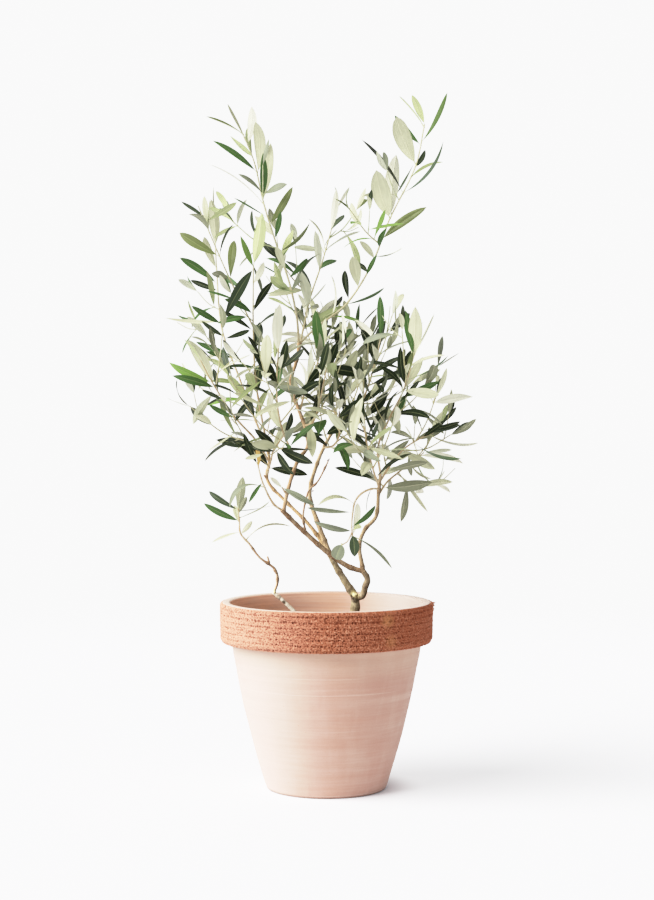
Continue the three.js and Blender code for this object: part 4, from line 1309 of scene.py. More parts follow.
def pit_map(length):
    """How deep the pits are at each of the mesh's steps round the band and rows up it."""
    cell = length / BAND_STEPS
    rows = int(BAND_HEIGHT / BAND_ROW) + 1
    depth = np.zeros((BAND_STEPS, rows))
    for around, up, (wide, high), deep in pit_rows(length):
        first, last = int((around - wide) / cell), int((around + wide) / cell) + 2
        low, top = max(0, int((up - high) / BAND_ROW)), min(rows, int((up + high) / BAND_ROW) + 2)
        for i in range(first, last):
            for j in range(low, top):
                off = ((i * cell - around) / wide) ** 2 + ((j * BAND_ROW - up) / high) ** 2
                cut = deep * max(0, 1 - off) ** 0.7
                depth[i % BAND_STEPS, j] = max(depth[i % BAND_STEPS, j], cut)
    return depth


def torn_relief(x, y, z, pit):
    """How far the torn clay stands out at a place with a pit this deep."""
    tear = wear(x, y, z, (2.6, 2.6, 1.1)) + FINE_TEAR * wear(x, y, z, (1.2, 1.2, 0.9))
    lump = wear(x, y, z, (14, 14, 4))
    above_row = z - BAND_FOOT - FIRST_ROW * PIT_ROW + PIT_DRIFT * wear(x, y, z, (20, 20, 9))
    pressed = COMB_DEPTH + COMB_SPREAD * wear(x, y, z, (40, 40, 5))
    comb = -math.cos(math.pi * above_row / PIT_ROW) * pressed
    wide, deep, high = CRUMB_SIZE
    crumb = CRUMB_LEVEL - noise.voronoi(Vector((x / wide, y / deep, z / high)))[0][0]
    turn = (math.degrees(math.atan2(y, x)) - RAGGED_EDGE[0]) / RAGGED_EDGE[1]
    ragged = math.exp(-turn * turn) * max(0, 1 - (POT_HEIGHT - z) / RAGGED_HEIGHT)
    torn = RAGGED_DEPTH * ragged * max(0, wear(x, y, z, (2.2, 2.2, 1.8)) + 0.1)
    return TEAR * tear + LUMP * lump + comb + CRUMB * crumb - pit + torn


def make_pot_band(settings):
    """The thick band, torn and pitted while its clay was leather-hard."""
    piece = turned("rough_band", band_profile(), BAND_STEPS)
    mesh = piece.data
    pits = pit_map(math.tau * BAND_RADIUS)
    places = vertex_places(mesh)
    relief = np.zeros(len(places))
    depth = settings.band_relief / MM
    for i, place in enumerate(places):
        x, y, z = place / MM
        radius = math.hypot(x, y)
        if radius < neck_radius() + 1:
            continue
        step = round(math.atan2(y, x) % math.tau / math.tau * BAND_STEPS) % BAND_STEPS
        row = min(max(round((z - BAND_FOOT) / BAND_ROW), 0), pits.shape[1] - 1)
        relief[i] = torn_relief(x, y, z, pits[step, row])
        place[:2] *= 1 + depth * (relief[i] - RELIEF_LEVEL) / radius
        place[2] += RELIEF_SHIFT * MM * wear(x, y, z, (1.8, 1.8, 2))
    set_places(mesh, places)
    store(mesh, "relief", relief)
    mesh.materials.append(band_finish(settings))
    smoothed(piece, 70)
    hand_over(piece, "band", "pot_band")


def make_soil():
    """The potting soil: lumpy, a little higher round the stems, with crumbs of bark and grit."""
    edge = inner_radius(SOIL_TOP) - GAP
    rows = int(edge / SOIL_ROW)
    foot = FLOOR + GAP
    profile = [(0, foot), (inner_radius(FLOOR) - FLOOR_CORNER - GAP, foot)]
    profile += [(inner_radius(z) - GAP, z) for z in (FLOOR + FLOOR_CORNER, BAND_FOOT / 2, BAND_FOOT)]
    profile += [(edge * (1 - i / rows), SOIL_LEVEL) for i in range(rows + 1)]
    piece = turned("potting_soil", profile, SOIL_STEPS)
    mesh = piece.data
    places = vertex_places(mesh)
    for place in places:
        x, y, z = place / MM
        if z > SOIL_TOP - 1:
            inward = min(1, (edge - math.hypot(x, y)) / SOIL_EDGE)
            place[2] += soil_lump(x, y) * MM * max(0, inward)
    set_places(mesh, places)
    mesh.materials.append(soil_finish())
    smoothed(piece, 50)
    hand_over(piece, "soil", "soil")
    for bits in BITS:
        strew_bits(bits)


def soil_lump(x, y):
    """How far the soil stands above or below its level, in millimetres."""
    near_stems = sum(share * math.exp(-((x - middle_x) ** 2 + (y - middle_y) ** 2) / spread)
                     for share, middle_x, middle_y, spread in SOIL_MOUNDS)
    lumps = sum(high * wear(x, y, level, (long, long, 1)) for high, level, long in SOIL_LUMPS)
    return lumps + MOUND_HEIGHT * near_stems


def strew_bits(bits):
    """Many small bits on the soil, each a copy of one shaped stone, joined."""
    stone = added(bpy.ops.mesh.primitive_ico_sphere_add, subdivisions=2, radius=0.5)
    shape, faces = taken_apart(stone)
    shape *= [[1 + BIT_ROUGHNESS * wear(*(place * 7 + bits.seed), (1, 1, 1))] for place in shape]
    dice = Dice(bits.seed)
    edge = inner_radius(SOIL_TOP) - SOIL_EDGE
    copies = []
    for _ in range(bits.count):
        radius = edge * math.sqrt(dice.roll())
        turn = dice.within(0, math.tau)
        x, y = radius * math.cos(turn), radius * math.sin(turn)
        long = lerp(*bits.lengths, dice.roll() ** 2)
        tilt = Matrix.Rotation(dice.spread(BIT_TILT), 3, "X")
        tilt = tilt @ Matrix.Rotation(dice.spread(math.pi), 3, "Z")
        wide, thick = (long * share for share in bits.shares)
        scale = np.array([long, wide, thick * dice.within(*BIT_THICKNESS)])
        rest = SOIL_LEVEL + soil_lump(x, y) + BIT_RAISED * scale[2]
        copies.append((shape * scale) @ np.array(tilt).T + (x, y, rest))
    piece = joined(bits.name, copies, faces)
    piece.data.materials.append(bits_finish(bits))
    smoothed(piece, 35)
    hand_over(piece, "soil")


def joined(name, copies, faces):
    """One piece of many copies of a shape, each with its own places in millimetres."""
    count = len(copies[0])
    places = np.concatenate(copies) * MM
    corners = [tuple(k + i * count for k in face) for i in range(len(copies)) for face in faces]
    mesh = bpy.data.meshes.new(name)
    mesh.from_pydata(places, [], corners)
    piece = bpy.data.objects.new(name, mesh)
    bpy.context.collection.objects.link(piece)
    return piece


# The wood

def limb_radius(limb, u, length):
    """A limb's radius along it: a straight taper, a flare at a foot in the soil and a knob at a tip."""
    flare = limb.flare * max(0, 1 - u * length / LIMB_FLARE_HEIGHT) ** 2
    knob = limb.knob * max(0, 1 - (1 - u) * length / LIMB_KNOB_LENGTH)
    return lerp(*limb.radius, u) + flare + knob


def limb_lines():
    """The line of every limb, by name."""
    lines = {}
    for limb in LIMBS:
        start = [lines[limb.limb].at(limb.at)] if limb.limb else []
        lines[limb.name] = Line([*start, *limb.via])
    return lines


def node_swell(distance, seed):
    """How much thicker a limb is by a node, where a pair of leaves once stood."""
    place = distance / NODE_EVERY + NODE_STAGGER * (seed % 3)
    off = abs(place - round(place)) * NODE_EVERY / NODE_LENGTH
    return NODE_SWELL * math.exp(-off * off)


def tubes(name, lines, sides):
    """A mesh of tubes, each along a list of (point, radius) in millimetres, closed at both ends."""
    piece = added(bpy.ops.curve.primitive_nurbs_path_add)
    piece.name = name
    curve = piece.data
    curve.splines.clear()
    for line in lines:
        spline = curve.splines.new("POLY")
        spline.points.add(len(line) - 1)
        for point, (place, radius) in zip(spline.points, line):
            point.co = (*(place * MM), 1)
            point.radius = radius
    curve.bevel_depth = MM
    curve.bevel_resolution = sides // 2 - 2
    curve.use_fill_caps = True
    bpy.ops.object.convert(target="MESH")
    piece = bpy.context.active_object
    piece.data.name = name
    return piece


def make_stems():
    """Trunk, boughs and stubs as one skin of bark that flows from limb to limb."""
    lines = limb_lines()
    runs = []
    samples = []
    for number, limb in enumerate(LIMBS):
        line = lines[limb.name]
        count = max(6, round(line.length / LIMB_RING))
        run = []
        for i in range(count + 1):
            u = i / count
            swell = node_swell(u * line.length, number)
            run.append((line.at(u), limb_radius(limb, u, line.length) + swell))
            samples.append((line.at(u), limb.bark, swell / NODE_SWELL))
        if not limb.limb:
            run.insert(0, (run[0][0] - UP * FOOT_IN_SOIL, run[0][1] + FOOT_SPREAD))
        runs.append(run)
    for foot, tip, low, high, tone in STUBS:
        foot, tip = Vector(foot), Vector(tip)
        shares = [i / STUB_RINGS for i in range(STUB_RINGS)]
        run = [(foot.lerp(tip, share), lerp(low, high, share)) for share in shares]
        runs.append([*run, (foot.lerp(tip, STUB_END), high), (tip, high * STUB_END_RADIUS)])
        count = max(6, round((tip - foot).length / STUB_STEP))
        first = int(count * (CALLUS_TONE_FROM if tone == CALLUS else STUB_TONE_FROM))
        samples += [(foot.lerp(tip, i / count), tone, 0) for i in range(first, count + 2)]
    piece = tubes("woody_stems", runs, STEM_SIDES)
    finish_with(piece, "REMESH", mode="VOXEL", voxel_size=BARK_VOXEL * MM, adaptivity=0)
    finish_with(piece, "SMOOTH", factor=0.6, iterations=3)
    carve_bark(piece, samples)
    piece.data.materials.append(bark_finish())
    smoothed(piece, 60)
    hand_over(piece, "bark", *(limb.name for limb in LIMBS))
    make_buds()


def carve_bark(piece, samples):
    """Give the bark its furrows and lumps, and keep each limb's tone and its nodes for the shader. The
    tone is painted lighter where the bark faces the light and darker where it faces away.
    """
    mesh = piece.data
    tree = kdtree.KDTree(len(samples))
    for i, (place, _, _) in enumerate(samples):
        tree.insert(place, i)
    tree.balance()
    places = vertex_places(mesh)
    normals = vertex_normals(mesh)
    tones = np.ones((len(places), 4), dtype=np.float32)
    knots = np.zeros(len(places))
    for i, place in enumerate(places):
        x, y, z = place / MM
        near = tree.find_n((x, y, z), TONE_SAMPLES)
        # Painted light and shade: lighter where the bark faces the light, darker where it faces away.
        painted_light = float(np.interp(SHADY_WAY.dot(normals[i]), SHADY_PLACES, SHADY_TONES))
        tone = np.mean([samples[k][1] for _, k, _ in near], axis=0) * painted_light
        tones[i, :3] = np.minimum(tone, PALEST_BARK)
        knots[i] = np.mean([samples[k][2] for _, k, _ in near])
        thick = min(1, near[0][2] / FULL_WEAR_RADIUS)
        furrow = wear(x, y, z, FURROW_SIZE) + FINE_FURROW * wear(x, y, z, FINE_FURROW_SIZE)
        lump = wear(x, y, z, BARK_LUMP_SIZE)
        places[i] += normals[i] * MM * thick * (FURROW_DEPTH * furrow + BARK_LUMP * lump)
    set_places(mesh, places)
    layer = mesh.attributes.new("bark_tone", "FLOAT_COLOR", "POINT")
    layer.data.foreach_set("color", tones.ravel())
    store(mesh, "knot", knots)


def make_buds():
    """Small resting buds, each a pointed egg."""
    egg = added(bpy.ops.mesh.primitive_uv_sphere_add, segments=8, ring_count=6, radius=1)
    shape, faces = taken_apart(egg)
    shape[:, :2] *= BUD_WIDTH - BUD_TAPER * shape[:, 2:]
    shape[:, 2] = shape[:, 2] * BUD_HEIGHT + BUD_RAISED
    copies = []
    for place, points_to in BUDS:
        turn = np.array(Vector(points_to).to_track_quat("Z", "Y").to_matrix())
        root = Vector(place) + Vector(points_to).normalized() * BUD_OUT
        copies.append((shape * BUD_SIZE) @ turn.T + np.array(root))
    piece = joined("resting_buds", copies, faces)
    piece.data.materials.append(bud_finish())
    smoothed(piece, 60)
    hand_over(piece, "bark")


# The crown

@dataclass
class Leaf:
    """One leaf: where its root is, where it heads, which way its top faces and its size."""
    point: Vector
    heading: Vector
    face: Vector
    length: float
    width: float
    tint: str
    arch: float
    sway: float
    twist: float
    curl: float
    fold: float
    slim: float
    blunt: float
    full: float
    is_placed: bool = False

    def tip(self):
        return self.point + self.heading * self.length


@dataclass
class Twig:
    """A stem, fork, shoot or twiglet, what its leaves need to know, those that it would have and
    those that stand on it."""
    line: Line
    radius: tuple
    bare: float
    step: float
    leaf: float
    kind: str
    placed: list = field(default_factory=list)
    planned: list = field(default_factory=list)
    leaves: list = field(default_factory=list)


class Body:
    """What a twig or leaf takes up: a few faces, and the ball that holds them."""

    def __init__(self, owner, points, faces, outer=None):
        self.owner = owner
        self.whole = BVHTree.FromPolygons(points, faces)
        self.outer = outer and BVHTree.FromPolygons(outer, faces)
        middle = sum(points, Vector()) / len(points)
        self.middle = middle
        self.radius = max((point - middle).length for point in points)

    def touches(self, other):
        if self.owner != other.owner:
            return bool(self.whole.overlap(other.whole))
        if not self.outer:
            return False
        if self.outer.overlap(other.whole):
            return True
        return bool(other.outer and self.whole.overlap(other.outer))


def tube_body(owner, line, radii, sides, step, fewest):
    """The body of a limb or twig that tapers from one radius to another along its line."""
    steps = max(fewest, round(line.length / step))
    points = []
    for i in range(steps + 1):
        place = line.frame(i / steps)
        radius = lerp(*radii, i / steps)
        points += [place.point + place.outward(360 * k / sides) * radius for k in range(sides)]
    faces = []
    for i in range(steps):
        for k in range(sides):
            low, turn = i * sides, (k + 1) % sides
            faces.append((low + k, low + turn, low + sides + turn, low + sides + k))
    return Body(owner, points, faces)


BLADE_FACES = [(0, 2, 4), (0, 4, 3), (0, 3, 5), (0, 5, 2), (1, 4, 2), (1, 3, 4), (1, 5, 3), (1, 2, 5)]


def blade_points(leaf, width, start=0):
    """The six corners of the slim body that stands for a leaf, less a share of it at its root."""
    across = leaf.face.cross(leaf.heading)
    half = leaf.length * (1 - start) / 2
    middle = leaf.point + leaf.heading * (leaf.length - half) + leaf.face * (leaf.length * ARCH_SHARE)
    thick = leaf.face * (leaf.length * THICKNESS_SHARE / 2)
    side = across * (width / 2)
    root = leaf.point + leaf.heading * (leaf.length * start)
    return [root, leaf.tip(), middle + side, middle - side, middle + thick, middle - thick]


def leaf_body(owner, leaf):
    width = leaf.width * leaf.slim
    return Body(owner, blade_points(leaf, width), BLADE_FACES, blade_points(leaf, width, ROOT_SHARE))


class Crown:
    """All that stands so far: every limb, and each twig and leaf of the masses."""

    def __init__(self, lines):
        self.bodies = []
        self.middles = np.empty((0, 3))
        self.radii = np.empty(0)
        for limb in LIMBS:
            self.stand(tube_body(limb.name, lines[limb.name], limb.radius, **LIMB_BODY))

    def stand(self, body):
        self.bodies.append(body)
        self.middles = np.vstack([self.middles, np.array(body.middle)])
        self.radii = np.append(self.radii, body.radius)

    def takes_in(self, body):
        """Let a body stand only if it touches nothing that stands already."""
        gaps = np.linalg.norm(self.middles - np.array(body.middle), axis=1) - self.radii - body.radius
        if any(body.touches(self.bodies[i]) for i in np.flatnonzero(gaps < 0)):
            return False
        self.stand(body)
        return True

    def leaves_taken_in(self, mass, leaves):
        """Those of a mass's leaves that find room, one after the other."""
        return [leaf for leaf in leaves if self.takes_in(leaf_body(mass.name, leaf))]


def leaf_looks(mass, dice):
    """What sets one leaf apart from the next: its tint, how it bends and how slim it is."""
    return {
        "tint": dice.pick(mass.tints),
        "arch": ARCH_SHARE + dice.spread(ARCH_SPREAD),
        "sway": dice.spread(SWAY_SPREAD),
        "twist": dice.spread(BLADE_TWIST_SPREAD),
        "curl": dice.spread(CURL_SPREAD),
        "fold": dice.within(*FOLD_RANGE),
        "slim": dice.within(*SLIM_RANGE),
        "blunt": dice.within(*BLUNT_RANGE),
        "full": dice.within(*FULL_RANGE),
    }


def placed_leaf(twig, row, mass, dice, looks_dice):
    """A leaf whose tip has a place of its own, with its top, underside or edge to the viewer."""
    at, shows, tint, x, y, z, *more = row
    point = twig.line.at(at)
    heading = Vector((x, y, z)) - point
    length = heading.length
    heading.normalize()
    turn = SHOWN_TURN[shows] + dice.spread(PLACED_SPREAD)
    face = (heading * AWAY.dot(heading) - AWAY).normalized()
    face.rotate(Matrix.Rotation(math.radians(turn), 3, heading))
    width = length * (more[0] if more else WIDTH_SHARE)
    looks = {**leaf_looks(mass, looks_dice), "tint": tint, "slim": PLACED_SLIM[shows]}
    looks["twist"] *= PLACED_TWIST_KEPT
    looks.update(zip(("arch", "full"), more[1:]))
    return Leaf(point, heading, face, length, width, is_placed=True, **looks)


def leaves_on(twig, mass, dice, looks_dice):
    """The placed leaves and the pairs along one twig. Each pair is a quarter turn on from the last,
    and none is dealt where a placed leaf already stands."""
    length = twig.line.length
    pairs = max(2, math.floor(length * (1 - twig.bare) / twig.step + 0.5))
    leaves = [placed_leaf(twig, row, mass, dice, looks_dice) for row in twig.placed]
    turn = dice.roll() * FIRST_TURN
    for i in range(pairs):
        t = i / (pairs - 1)
        u = lerp(twig.bare, LAST_PAIR, t)
        place = twig.line.frame(u)
        is_taken = any(abs(row[0] - u) * length < twig.step * BESIDE_PLACED for row in twig.placed)
        for half in (0, 180):
            roll = turn + 90 * i + half + dice.spread(TURN_SPREAD)
            angle = lerp(ANGLE_AT_ROOT, ANGLE_AT_TIP, t * t) + dice.spread(ANGLE_SPREAD)
            twist = dice.spread(TWIST_SPREAD)
            size = lerp(1, SHORTEST_AT_TIP, t ** 4) * (1 + dice.spread(LENGTH_SPREAD))
            outward = place.outward(roll)
            heading = between(place.along, outward, angle)
            face = -between(place.along, outward, angle + 90)
            face.rotate(Matrix.Rotation(math.radians(twist), 3, heading))
            looks = leaf_looks(mass, looks_dice)
            if not is_taken:
                long = twig.leaf * size
                leaves.append(Leaf(place.point, heading, face, long, WIDTH_SHARE * long, **looks))
    return leaves


def dealt_shoot(stem, index, count, dice):
    """A side twig that the dice deal out: it leaves its stem at an angle and lifts towards its tip."""
    share = index / (count - 1) if count > 1 else 0.5
    at = lerp(FIRST_SHOOT, LAST_SHOOT, share) + dice.spread(SHOOT_SPREAD)
    roll = index * SHOOT_TURN + dice.roll() * SHOOT_TURN_SPREAD
    angle = SHOOT_ANGLE + dice.spread(SHOOT_ANGLE_SPREAD)
    length = SHOOT_LENGTH * (1 - SHOOT_SHORTENING * share) * (1 + dice.spread(SHOOT_LENGTH_SPREAD))
    return lifted_line(stem.frame(at), roll, angle, length)


def lifted_line(root, roll, angle, length):
    heading = between(root.along, root.outward(roll), angle)
    tip = root.point + heading * length + UP * (length * SHOOT_LIFT)
    return Line([root.point, root.point + heading * (length / 2), tip])


def forked_line(stem, fork):
    root = stem.at(fork.at)
    tip = Vector(fork.to)
    return Line([root, root.lerp(tip, 0.5) - UP * FORK_SAG, tip])


def twigs_of(mass, lines, dice):
    """The stem, forks and dealt shoots of a mass."""
    stem = Line([lines[mass.limb].at(mass.at), *mass.via])
    twigs = [Twig(stem, STEM_RADIUS, STEM_BARE, mass.step, mass.leaf, "stem", mass.placed)]
    for fork in mass.forks:
        line = forked_line(stem, fork)
        twigs.append(Twig(line, SIDE_RADIUS, FORK_BARE, fork.step, fork.leaf, "fork", fork.placed))
    for i in range(mass.shoots):
        line = dealt_shoot(stem, i, mass.shoots, dice)
        twigs.append(Twig(line, SIDE_RADIUS, SHOOT_BARE, mass.step, mass.leaf * SHOOT_LEAF, "shoot"))
    return twigs


def twiglets_of(mass, twigs, dice):
    """Finer twigs on the stem, forks and shoots of a mass, which the solids leave out."""
    found = []
    for twig in twigs:
        for _ in range(mass.finer):
            root = twig.line.frame(dice.within(*TWIGLET_AT))
            length = dice.within(*TWIGLET_LENGTH)
            line = lifted_line(root, dice.within(0, 360), dice.within(*TWIGLET_ANGLE), length)
            leaf = mass.leaf * TWIGLET_LEAF
            found.append(Twig(line, TWIGLET_RADIUS, TWIGLET_BARE, TWIGLET_STEP, leaf, "twiglet"))
    return found


class Reach:
    """How far a mass may grow: near its stem, and inside the box of its solid."""

    def __init__(self, mass, stem):
        self.points = [stem.at(i / REACH_POINTS) for i in range(REACH_POINTS + 1)]
        margin = Vector((BOX_MARGIN,) * 3)
        low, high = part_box(mass.name)
        self.low = low / MM - margin
        self.high = high / MM + margin

    def holds(self, tip):
        if any(not low <= part <= high for low, part, high in zip(self.low, tip, self.high)):
            return False
        return min((point - tip).length for point in self.points) < MASS_REACH

    def holds_leaf(self, leaf):
        return self.holds(leaf.tip())


def twig_body(mass, twig):
    return tube_body(mass.name, twig.line, twig.radius, **TWIG_BODY)


def plan_of(mass, lines):
    """A mass's twigs, each with the leaves that it would have."""
    dice, looks_dice = Dice(mass.seed), Dice(mass.seed + LOOKS_SEED)
    twigs = twigs_of(mass, lines, dice)
    for twig in twigs:
        twig.planned = leaves_on(twig, mass, dice, looks_dice)
    extra_dice = Dice(mass.seed + EXTRA_SEED)
    stem = twigs[0]
    stem.planned += [placed_leaf(stem, row, mass, extra_dice, extra_dice) for row in mass.extra]
    return twigs


def grow():
    """Every twig that stands, each with the leaves that stand on it.

    The stems and forks stand first, then the dealt shoots, the placed leaves, the dealt leaves,
    and last the twiglets and their leaves, as far as they keep clear of the rest.
    """
    lines = limb_lines()
    crown = Crown(lines)
    plans = [(mass, plan_of(mass, lines)) for mass in MASSES]
    reaches = [Reach(mass, twigs[0].line) for mass, twigs in plans]
    for mass, twigs in plans:
        for twig in twigs:
            if twig.kind != "shoot":
                crown.stand(twig_body(mass, twig))
    for mass, twigs in plans:
        twigs[:] = [twig for twig in twigs
                    if twig.kind != "shoot" or crown.takes_in(twig_body(mass, twig))]
    for mass, twigs in plans:
        for twig in twigs:
            placed = [leaf for leaf in twig.planned if leaf.is_placed]
            twig.leaves += crown.leaves_taken_in(mass, placed)
    for (mass, twigs), reach in zip(plans, reaches):
        for twig in twigs:
            dealt = [leaf for leaf in twig.planned if not leaf.is_placed]
            twig.leaves += crown.leaves_taken_in(mass, filter(reach.holds_leaf, dealt))
    standing = [twig for _, twigs in plans for twig in twigs]
    for (mass, twigs), reach in zip(plans, reaches):
        dice, looks_dice = Dice(mass.seed + TWIGLET_SEED), Dice(mass.seed + TWIGLET_LOOKS_SEED)
        for twig in twiglets_of(mass, twigs, dice):
            twig.planned = leaves_on(twig, mass, dice, looks_dice)
            if reach.holds(twig.line.points[-1]) and crown.takes_in(twig_body(mass, twig)):
                twig.leaves = crown.leaves_taken_in(mass, filter(reach.holds_leaf, twig.planned))
                standing.append(twig)
    return standing


def twig_run(twig, seed):
    """Places and radii along a twig, which swells a little where each pair of leaves stands."""
    length = twig.line.length
    count = max(4, round(length / TWIG_RING))
    run = []
    for i in range(count + 1):
        u = i / count
        wobble = TWIG_WOBBLE * wear(u * length, seed, 0, (WOBBLE_LENGTH, 1, 1))
        pair = (u - twig.bare) * length / twig.step
        off = abs(pair - round(pair)) * twig.step / PAIR_SWELL_LENGTH
        swell = PAIR_SWELL * math.exp(-off * off) if u > twig.bare - PAIR_MARGIN else 0
        run.append((twig.line.at(u), lerp(*twig.radius, u) * (1 + wobble + swell)))
    return run


@dataclass
class Master:
    """The shape that every leaf is a copy of: its places, faces, face slots and UV corners."""
    places: np.ndarray
    faces: list
    slots: np.ndarray
    corners: np.ndarray


def blade_half_width(s):
    """Half the blade's width at the share s of the blade, where 1 is its widest place."""
    widest = OUTLINE_ROOT / (OUTLINE_ROOT + OUTLINE_TIP)
    most = widest ** OUTLINE_ROOT * (1 - widest) ** OUTLINE_TIP
    return s ** OUTLINE_ROOT * (1 - s) ** OUTLINE_TIP / most


def master_leaf():
    """A slim pointed blade, folded along its rib and with rolled edges, on a short stalk.

    It runs from 0 to 1 along X, from -1 to 1 across it, and its heights are shares of its length.
    """
    long, wide = BLADE_CELLS
    blade = added(bpy.ops.mesh.primitive_grid_add, x_subdivisions=long, y_subdivisions=wide, size=2)
    bpy.ops.object.mode_set(mode="EDIT")
    bpy.ops.mesh.select_all(action="SELECT")
    bpy.ops.mesh.duplicate_move(TRANSFORM_OT_translate={"value": (0, 0, -1)})
    bpy.ops.mesh.flip_normals()
    bpy.ops.object.mode_set(mode="OBJECT")
    mesh = blade.data
    for face in mesh.polygons:
        face.material_index = int(face.center.z < -0.5)
    for vertex in mesh.vertices:
        s = (vertex.co.x + 1) / 2
        y = vertex.co.y
        side = 1 if vertex.co.z > -0.5 else -1
        half = blade_half_width(s)
        belly = BLADE_THICKNESS * side * (1 - y * y) * min(1, 3 * half)
        vertex.co.x = lerp(BLADE_START, 1, s)
        vertex.co.y = y * half
        vertex.co.z = belly + (FOLD * abs(y) - EDGE_ROLL * abs(y) ** 3) * half
    pick(blade)
    bpy.ops.object.mode_set(mode="EDIT")
    bpy.ops.mesh.select_all(action="SELECT")
    bpy.ops.mesh.remove_doubles(threshold=0.0001)
    bpy.ops.object.mode_set(mode="OBJECT")
    slots = [face.material_index for face in mesh.polygons]
    stalk = added(
        bpy.ops.mesh.primitive_cylinder_add, vertices=4, radius=STALK_RADIUS,
        depth=STALK_LENGTH + 2 * STALK_SUNK, rotation=(0, math.pi / 2, 0),
        location=(STALK_LENGTH / 2 - STALK_SUNK, 0, -STALK_DROP))
    bpy.ops.object.transform_apply(location=True, rotation=True, scale=True)
    for vertex in stalk.data.vertices:
        vertex.co.y *= STALK_WIDENED
        thin = lerp(1, STALK_THINNEST, vertex.co.x / STALK_LENGTH)
        vertex.co.y *= thin
        vertex.co.z *= thin
    pick(blade, stalk)
    bpy.ops.object.join()
    mesh = blade.data
    corners = np.empty(len(mesh.loops) * 2)
    mesh.uv_layers.active.data.foreach_get("uv", corners)
    slots += [2] * (len(mesh.polygons) - len(slots))
    return Master(*taken_apart(blade), np.array(slots, dtype=np.int32), corners)


def bent(master, leaf, width_kept):
    """The master leaf at a leaf's place and size, arched, swayed and twisted its own way."""
    t, y, z = master.places.T
    y = y * np.maximum(4 * t * (1 - t), LEAST_BULGE) ** -leaf.full
    t = t + leaf.blunt * t * (1 - t)
    z = z * leaf.fold
    turn = leaf.twist * (t - TWIST_FROM)
    half = leaf.width * leaf.slim * width_kept / 2
    aside = y * half * np.cos(turn) - z * leaf.length * np.sin(turn)
    above = y * half * np.sin(turn) + z * leaf.length * np.cos(turn)
    bow = 4 * t * (1 - t) * leaf.length
    rise = leaf.arch * bow + leaf.curl * (t - t ** 3) * leaf.length
    lean = leaf.arch * 4 * (1 - 2 * t) + leaf.curl * (1 - 3 * t * t)
    along = t * leaf.length - ROOT_SUNK - lean * above
    across = np.array(leaf.face.cross(leaf.heading))
    place = np.outer(along, np.array(leaf.heading)) + np.outer(aside + leaf.sway * bow, across)
    return place + np.outer(above + rise, np.array(leaf.face)) + np.array(leaf.point)


def strew_leaves(name, master, leaves, width_kept, finishes):
    """One piece of many leaves, each its own copy of the master leaf."""
    piece = joined(name, [bent(master, leaf, width_kept) for leaf in leaves], master.faces)
    mesh = piece.data
    mesh.uv_layers.new(name="UVMap").data.foreach_set("uv", np.tile(master.corners, len(leaves)))
    mesh.polygons.foreach_set("material_index", np.tile(master.slots, len(leaves)))
    for finish in finishes:
        mesh.materials.append(finish)
    smoothed(piece, 22)
    return piece


def make_foliage(settings):
    """The leafy twigs and the leaves that stand on them, one piece for each kind and tint."""
    masses = [mass.name for mass in MASSES]
    twigs = grow()
    for name, kinds, finish in (("leafy_stems", ("stem", "fork"), "leafy_stem"),
                                ("green_twigs", ("shoot", "twiglet"), "green_twig")):
        runs = [twig_run(twig, i) for i, twig in enumerate(twigs) if twig.kind in kinds]
        piece = tubes(name, runs, TWIG_SIDES)
        piece.data.materials.append(twig_finish(finish))
        smoothed(piece, 60)
        hand_over(piece, "bark", *masses)
    master = master_leaf()
    stalk = twig_finish("leaf_stalk")
    leaves = [leaf for twig in twigs for leaf in twig.leaves]
    for key, tint in TINTS.items():
        rib = blend(tint.top, RIB_COLOUR, RIB_SHARE)
        pale_rib = blend(tint.underside, PALE_RIB_COLOUR, PALE_RIB_SHARE)
        rim = blend(tint.underside, tint.top, RIM_SHARE)
        top = leaf_finish(f"{tint.name}_top", tint.top, rib, rib, TOP_MARKS, tint.gloss)
        underside = leaf_finish(f"{tint.name}_underside", tint.underside, pale_rib, rim,
                                UNDERSIDE_MARKS, UNDERSIDE_GLOSS)
        finishes = [top, underside, stalk]
        own = [leaf for leaf in leaves if leaf.tint == key]
        piece = strew_leaves(f"{tint.name}_leaves", master, own, settings.leaf_width, finishes)
        hand_over(piece, "foliage", *masses)


# The stage

def make_stage(settings):
    """The pale floor, the soft key light from the left, the studio's white and the camera."""
    floor = added(bpy.ops.mesh.primitive_circle_add, vertices=128, radius=FLOOR_RADIUS,
                  fill_type="NGON", location=(0, 0, -FLOOR_DROP))
    floor.name = "studio_floor"
    bpy.ops.object.transform_apply(location=True, rotation=True, scale=True)
    floor.data.materials.append(floor_finish(settings))
    floor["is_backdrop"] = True
    key = added(bpy.ops.object.light_add, type="SUN")
    key.name = "soft_key"
    key.data.energy = settings.key_strength
    key.data.angle = settings.key_softness
    key.data.color = KEY_COLOUR
    towards = Matrix.Rotation(-settings.key_turn, 3, "Z") @ Vector((0, -1, 0))
    beam = towards * math.cos(settings.key_height) + UP * math.sin(settings.key_height)
    key.rotation_euler = (-beam).to_track_quat("-Z", "Y").to_euler()
    light_the_room(settings)
    stand = (0, -settings.camera_distance, settings.camera_height)
    camera = added(bpy.ops.object.camera_add, location=stand)
    camera.name = "viewpoint"
    camera.rotation_euler = (math.pi / 2 - settings.camera_dip, 0, 0)
    camera.data.sensor_fit = "VERTICAL"
    camera.data.sensor_height = SENSOR_HEIGHT
    camera.data.lens = LENS
    camera.data.shift_x = LENS_SHIFT
    camera.data.clip_end = FURTHEST_SEEN
    bpy.context.scene.camera = camera
    print_as_film()


